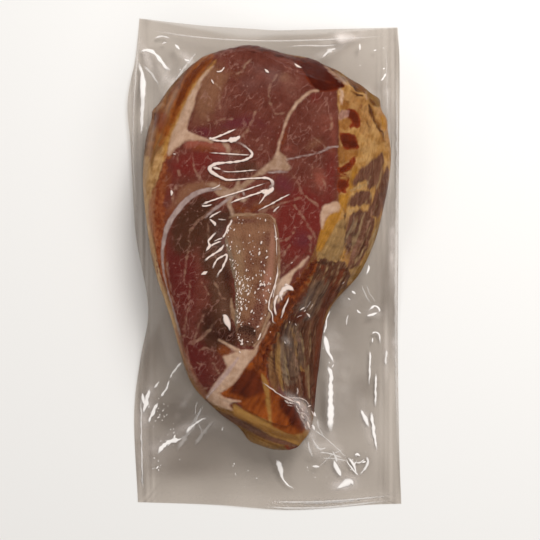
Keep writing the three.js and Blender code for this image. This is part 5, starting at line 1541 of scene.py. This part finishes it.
def film_material(name, tint):
    """Clear nylon and polythene film, blown and glossy: it passes most light with a warm grey
    cast, goes grey with slackness and where shade is painted on it, and white where creases or
    the seal's dots, 1.9 mm apart, scatter light and where sheen is painted on it, and shines
    more at grazing angles."""
    material, tree = new_material(name)
    body = add(tree, "BsdfTransparent", {"Color": colour(tint)})
    # grey where the film is loose and where shade is painted, white from fine creases and where sheen is
    # painted
    for attribute, top, code in (("slack_and_shade", SLACK_TOP, SLACK_AND_SHADE_GREY), ("milk_and_sheen", MILK_TOP, CREASE_AND_SHEEN_WHITE)):
        value = add(tree, "Attribute", attribute_name=attribute)
        share = add(tree, "MapRange", {0: value, 4: top})
        cloud = add(tree, "BsdfDiffuse", {"Color": colour(code)})
        body = add(tree, "MixShader", {0: share, 1: body, 2: cloud})
    place = add(tree, "TexCoord")
    dots = add(tree, "TexVoronoi", {"Vector": place, "Scale": 1 / (1.9 * MM)})
    dots = add(tree, "MapRange", {0: dots, 1: 0.42, 2: 0.2})
    seal = add(tree, "Attribute", attribute_name="seal")
    dots = add(tree, "Math", {0: dots, 1: seal}, operation="MULTIPLY")
    body = add(tree, "MixShader", {
        0: dots, 1: body, 2: add(tree, "BsdfDiffuse", {"Color": colour(CREASE_AND_SHEEN_WHITE)})})
    rise = add(tree, "Math", {0: add(tree, "LayerWeight", {"Blend": 0.5}), 1: 6.0}, operation="POWER")
    gloss = add(tree, "MapRange", {0: rise, 3: 0.008, 4: 0.14})
    shine = add(tree, "BsdfGlossy", {"Color": colour("#ffffff"), "Roughness": 0.14})
    add(tree, "OutputMaterial", {"Surface": add(tree, "MixShader", {0: gloss, 1: body, 2: shine})})
    return material


def highlight_fold_material(name, code):
    """The same film where it is folded on itself, with a painted highlight: a white diffuse colour
    along the top of the fold, fading to clear film at its sides.
    """
    material, tree = new_material(name)
    crest_highlight = add(tree, "Attribute", attribute_name="crest_highlight")
    # painted highlight: white diffuse film where the attribute is high, clear film elsewhere
    share = add(tree, "MapRange", {0: crest_highlight, 2: 0.8})
    white = add(tree, "BsdfPrincipled", {"Base Color": colour(code), "Roughness": 0.4, "IOR": 1.5})
    body = add(tree, "MixShader", {0: share, 1: add(tree, "BsdfTransparent"), 2: white})
    add(tree, "OutputMaterial", {"Surface": body})
    return material


def floor_material():
    """Painted board, rolled matt: a plain pale floor without gloss."""
    material, tree = new_material("pale_studio_floor")
    shader = add(tree, "BsdfPrincipled", {
        "Base Color": colour("#e6e4e1"), "Roughness": 0.9, "Specular IOR Level": 0.1})
    add(tree, "OutputMaterial", {"Surface": shader})
    return material


# Softboxes: turn round the vertical, angle from straight up, side in metres, watts
LAMPS = [(62, 42, 0.6, 16.0), (200, 50, 0.4, 3.0), (320, 50, 0.4, 3.0)]
LAMP_DISTANCE = 1.4
FLOOR_SIDE = 6
AIR_COLOUR, AIR_STRENGTH = "#f2f0ee", 0.5
SENSOR_WIDTH = 36


def studio():
    """A pale floor, soft lamps, the strongest from the upper right, and a camera above."""
    bpy.ops.mesh.primitive_plane_add(size=FLOOR_SIDE)
    floor = bpy.context.object
    floor.name = "floor"
    floor.data.materials.append(floor_material())
    link = bpy.context.scene.collection.objects.link
    for turn, tilt, side, watts in LAMPS:
        light = bpy.data.lights.new(f"softbox_{turn}", "AREA")
        light.size = side
        light.energy = watts
        lamp = bpy.data.objects.new(light.name, light)
        turn, tilt = math.radians(turn), math.radians(tilt)
        flat = LAMP_DISTANCE * math.sin(tilt)
        lamp.location = (flat * math.cos(turn), flat * math.sin(turn), LAMP_DISTANCE * math.cos(tilt))
        lamp.rotation_euler = (tilt, 0, turn + math.pi / 2)
        lamp.visible_camera = False
        lamp.visible_glossy = False
        link(lamp)
    world = bpy.data.worlds.new("studio_air")
    world.use_nodes = True
    air = world.node_tree.nodes["Background"].inputs
    air["Color"].default_value = colour(AIR_COLOUR)
    air["Strength"].default_value = AIR_STRENGTH
    bpy.context.scene.world = world
    camera = bpy.data.objects.new("camera", bpy.data.cameras.new("camera"))
    camera.location = (PHOTO_MIDDLE[0] * MM, PHOTO_MIDDLE[1] * MM, LENS_HEIGHT * MM)
    camera.data.sensor_width = SENSOR_WIDTH
    camera.data.lens = SENSOR_WIDTH * LENS_HEIGHT / (PHOTO_SIDE * MM_PER_PIXEL)
    link(camera)
    bpy.context.scene.camera = camera
    bpy.context.scene.view_settings.view_transform = "Standard"


studio()
meat = make_meat(meat_material())
bone = make_bone(bone_material())
joint_film, joint_surface = make_joint_film(film_material("clear_vacuum_film", "#fbfafa"))
margin_film, margin_surface = make_margin_film(film_material("doubled_vacuum_film", "#f1eeeb"))
joint_folds = make_folds(
    "painted_highlight_folds_on_joint", JOINT_FOLDS + bunched_folds(), bone_glints(), JOINT_SPREAD, joint_surface,
    highlight_fold_material("folded_vacuum_film_painted_highlights", "#d8c4b9"))
margin_folds = make_folds(
    "painted_highlight_folds_in_margin", MARGIN_FOLDS, margin_specks(), MARGIN_SPREAD, margin_surface,
    highlight_fold_material("folded_slack_film_painted_highlights", "#f4eee9"))

for piece, node, slot in (
    (meat, "pork_shoulder", "smoked_meat"), (bone, "bone", "sawn_bone"),
    (joint_film, "pork_shoulder", "clear_film"), (joint_folds, "pork_shoulder", "clear_film"),
    (margin_film, "pouch_margin", "clear_film"), (margin_folds, "pouch_margin", "clear_film"),
):
    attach(piece, "root")
    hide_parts(node)
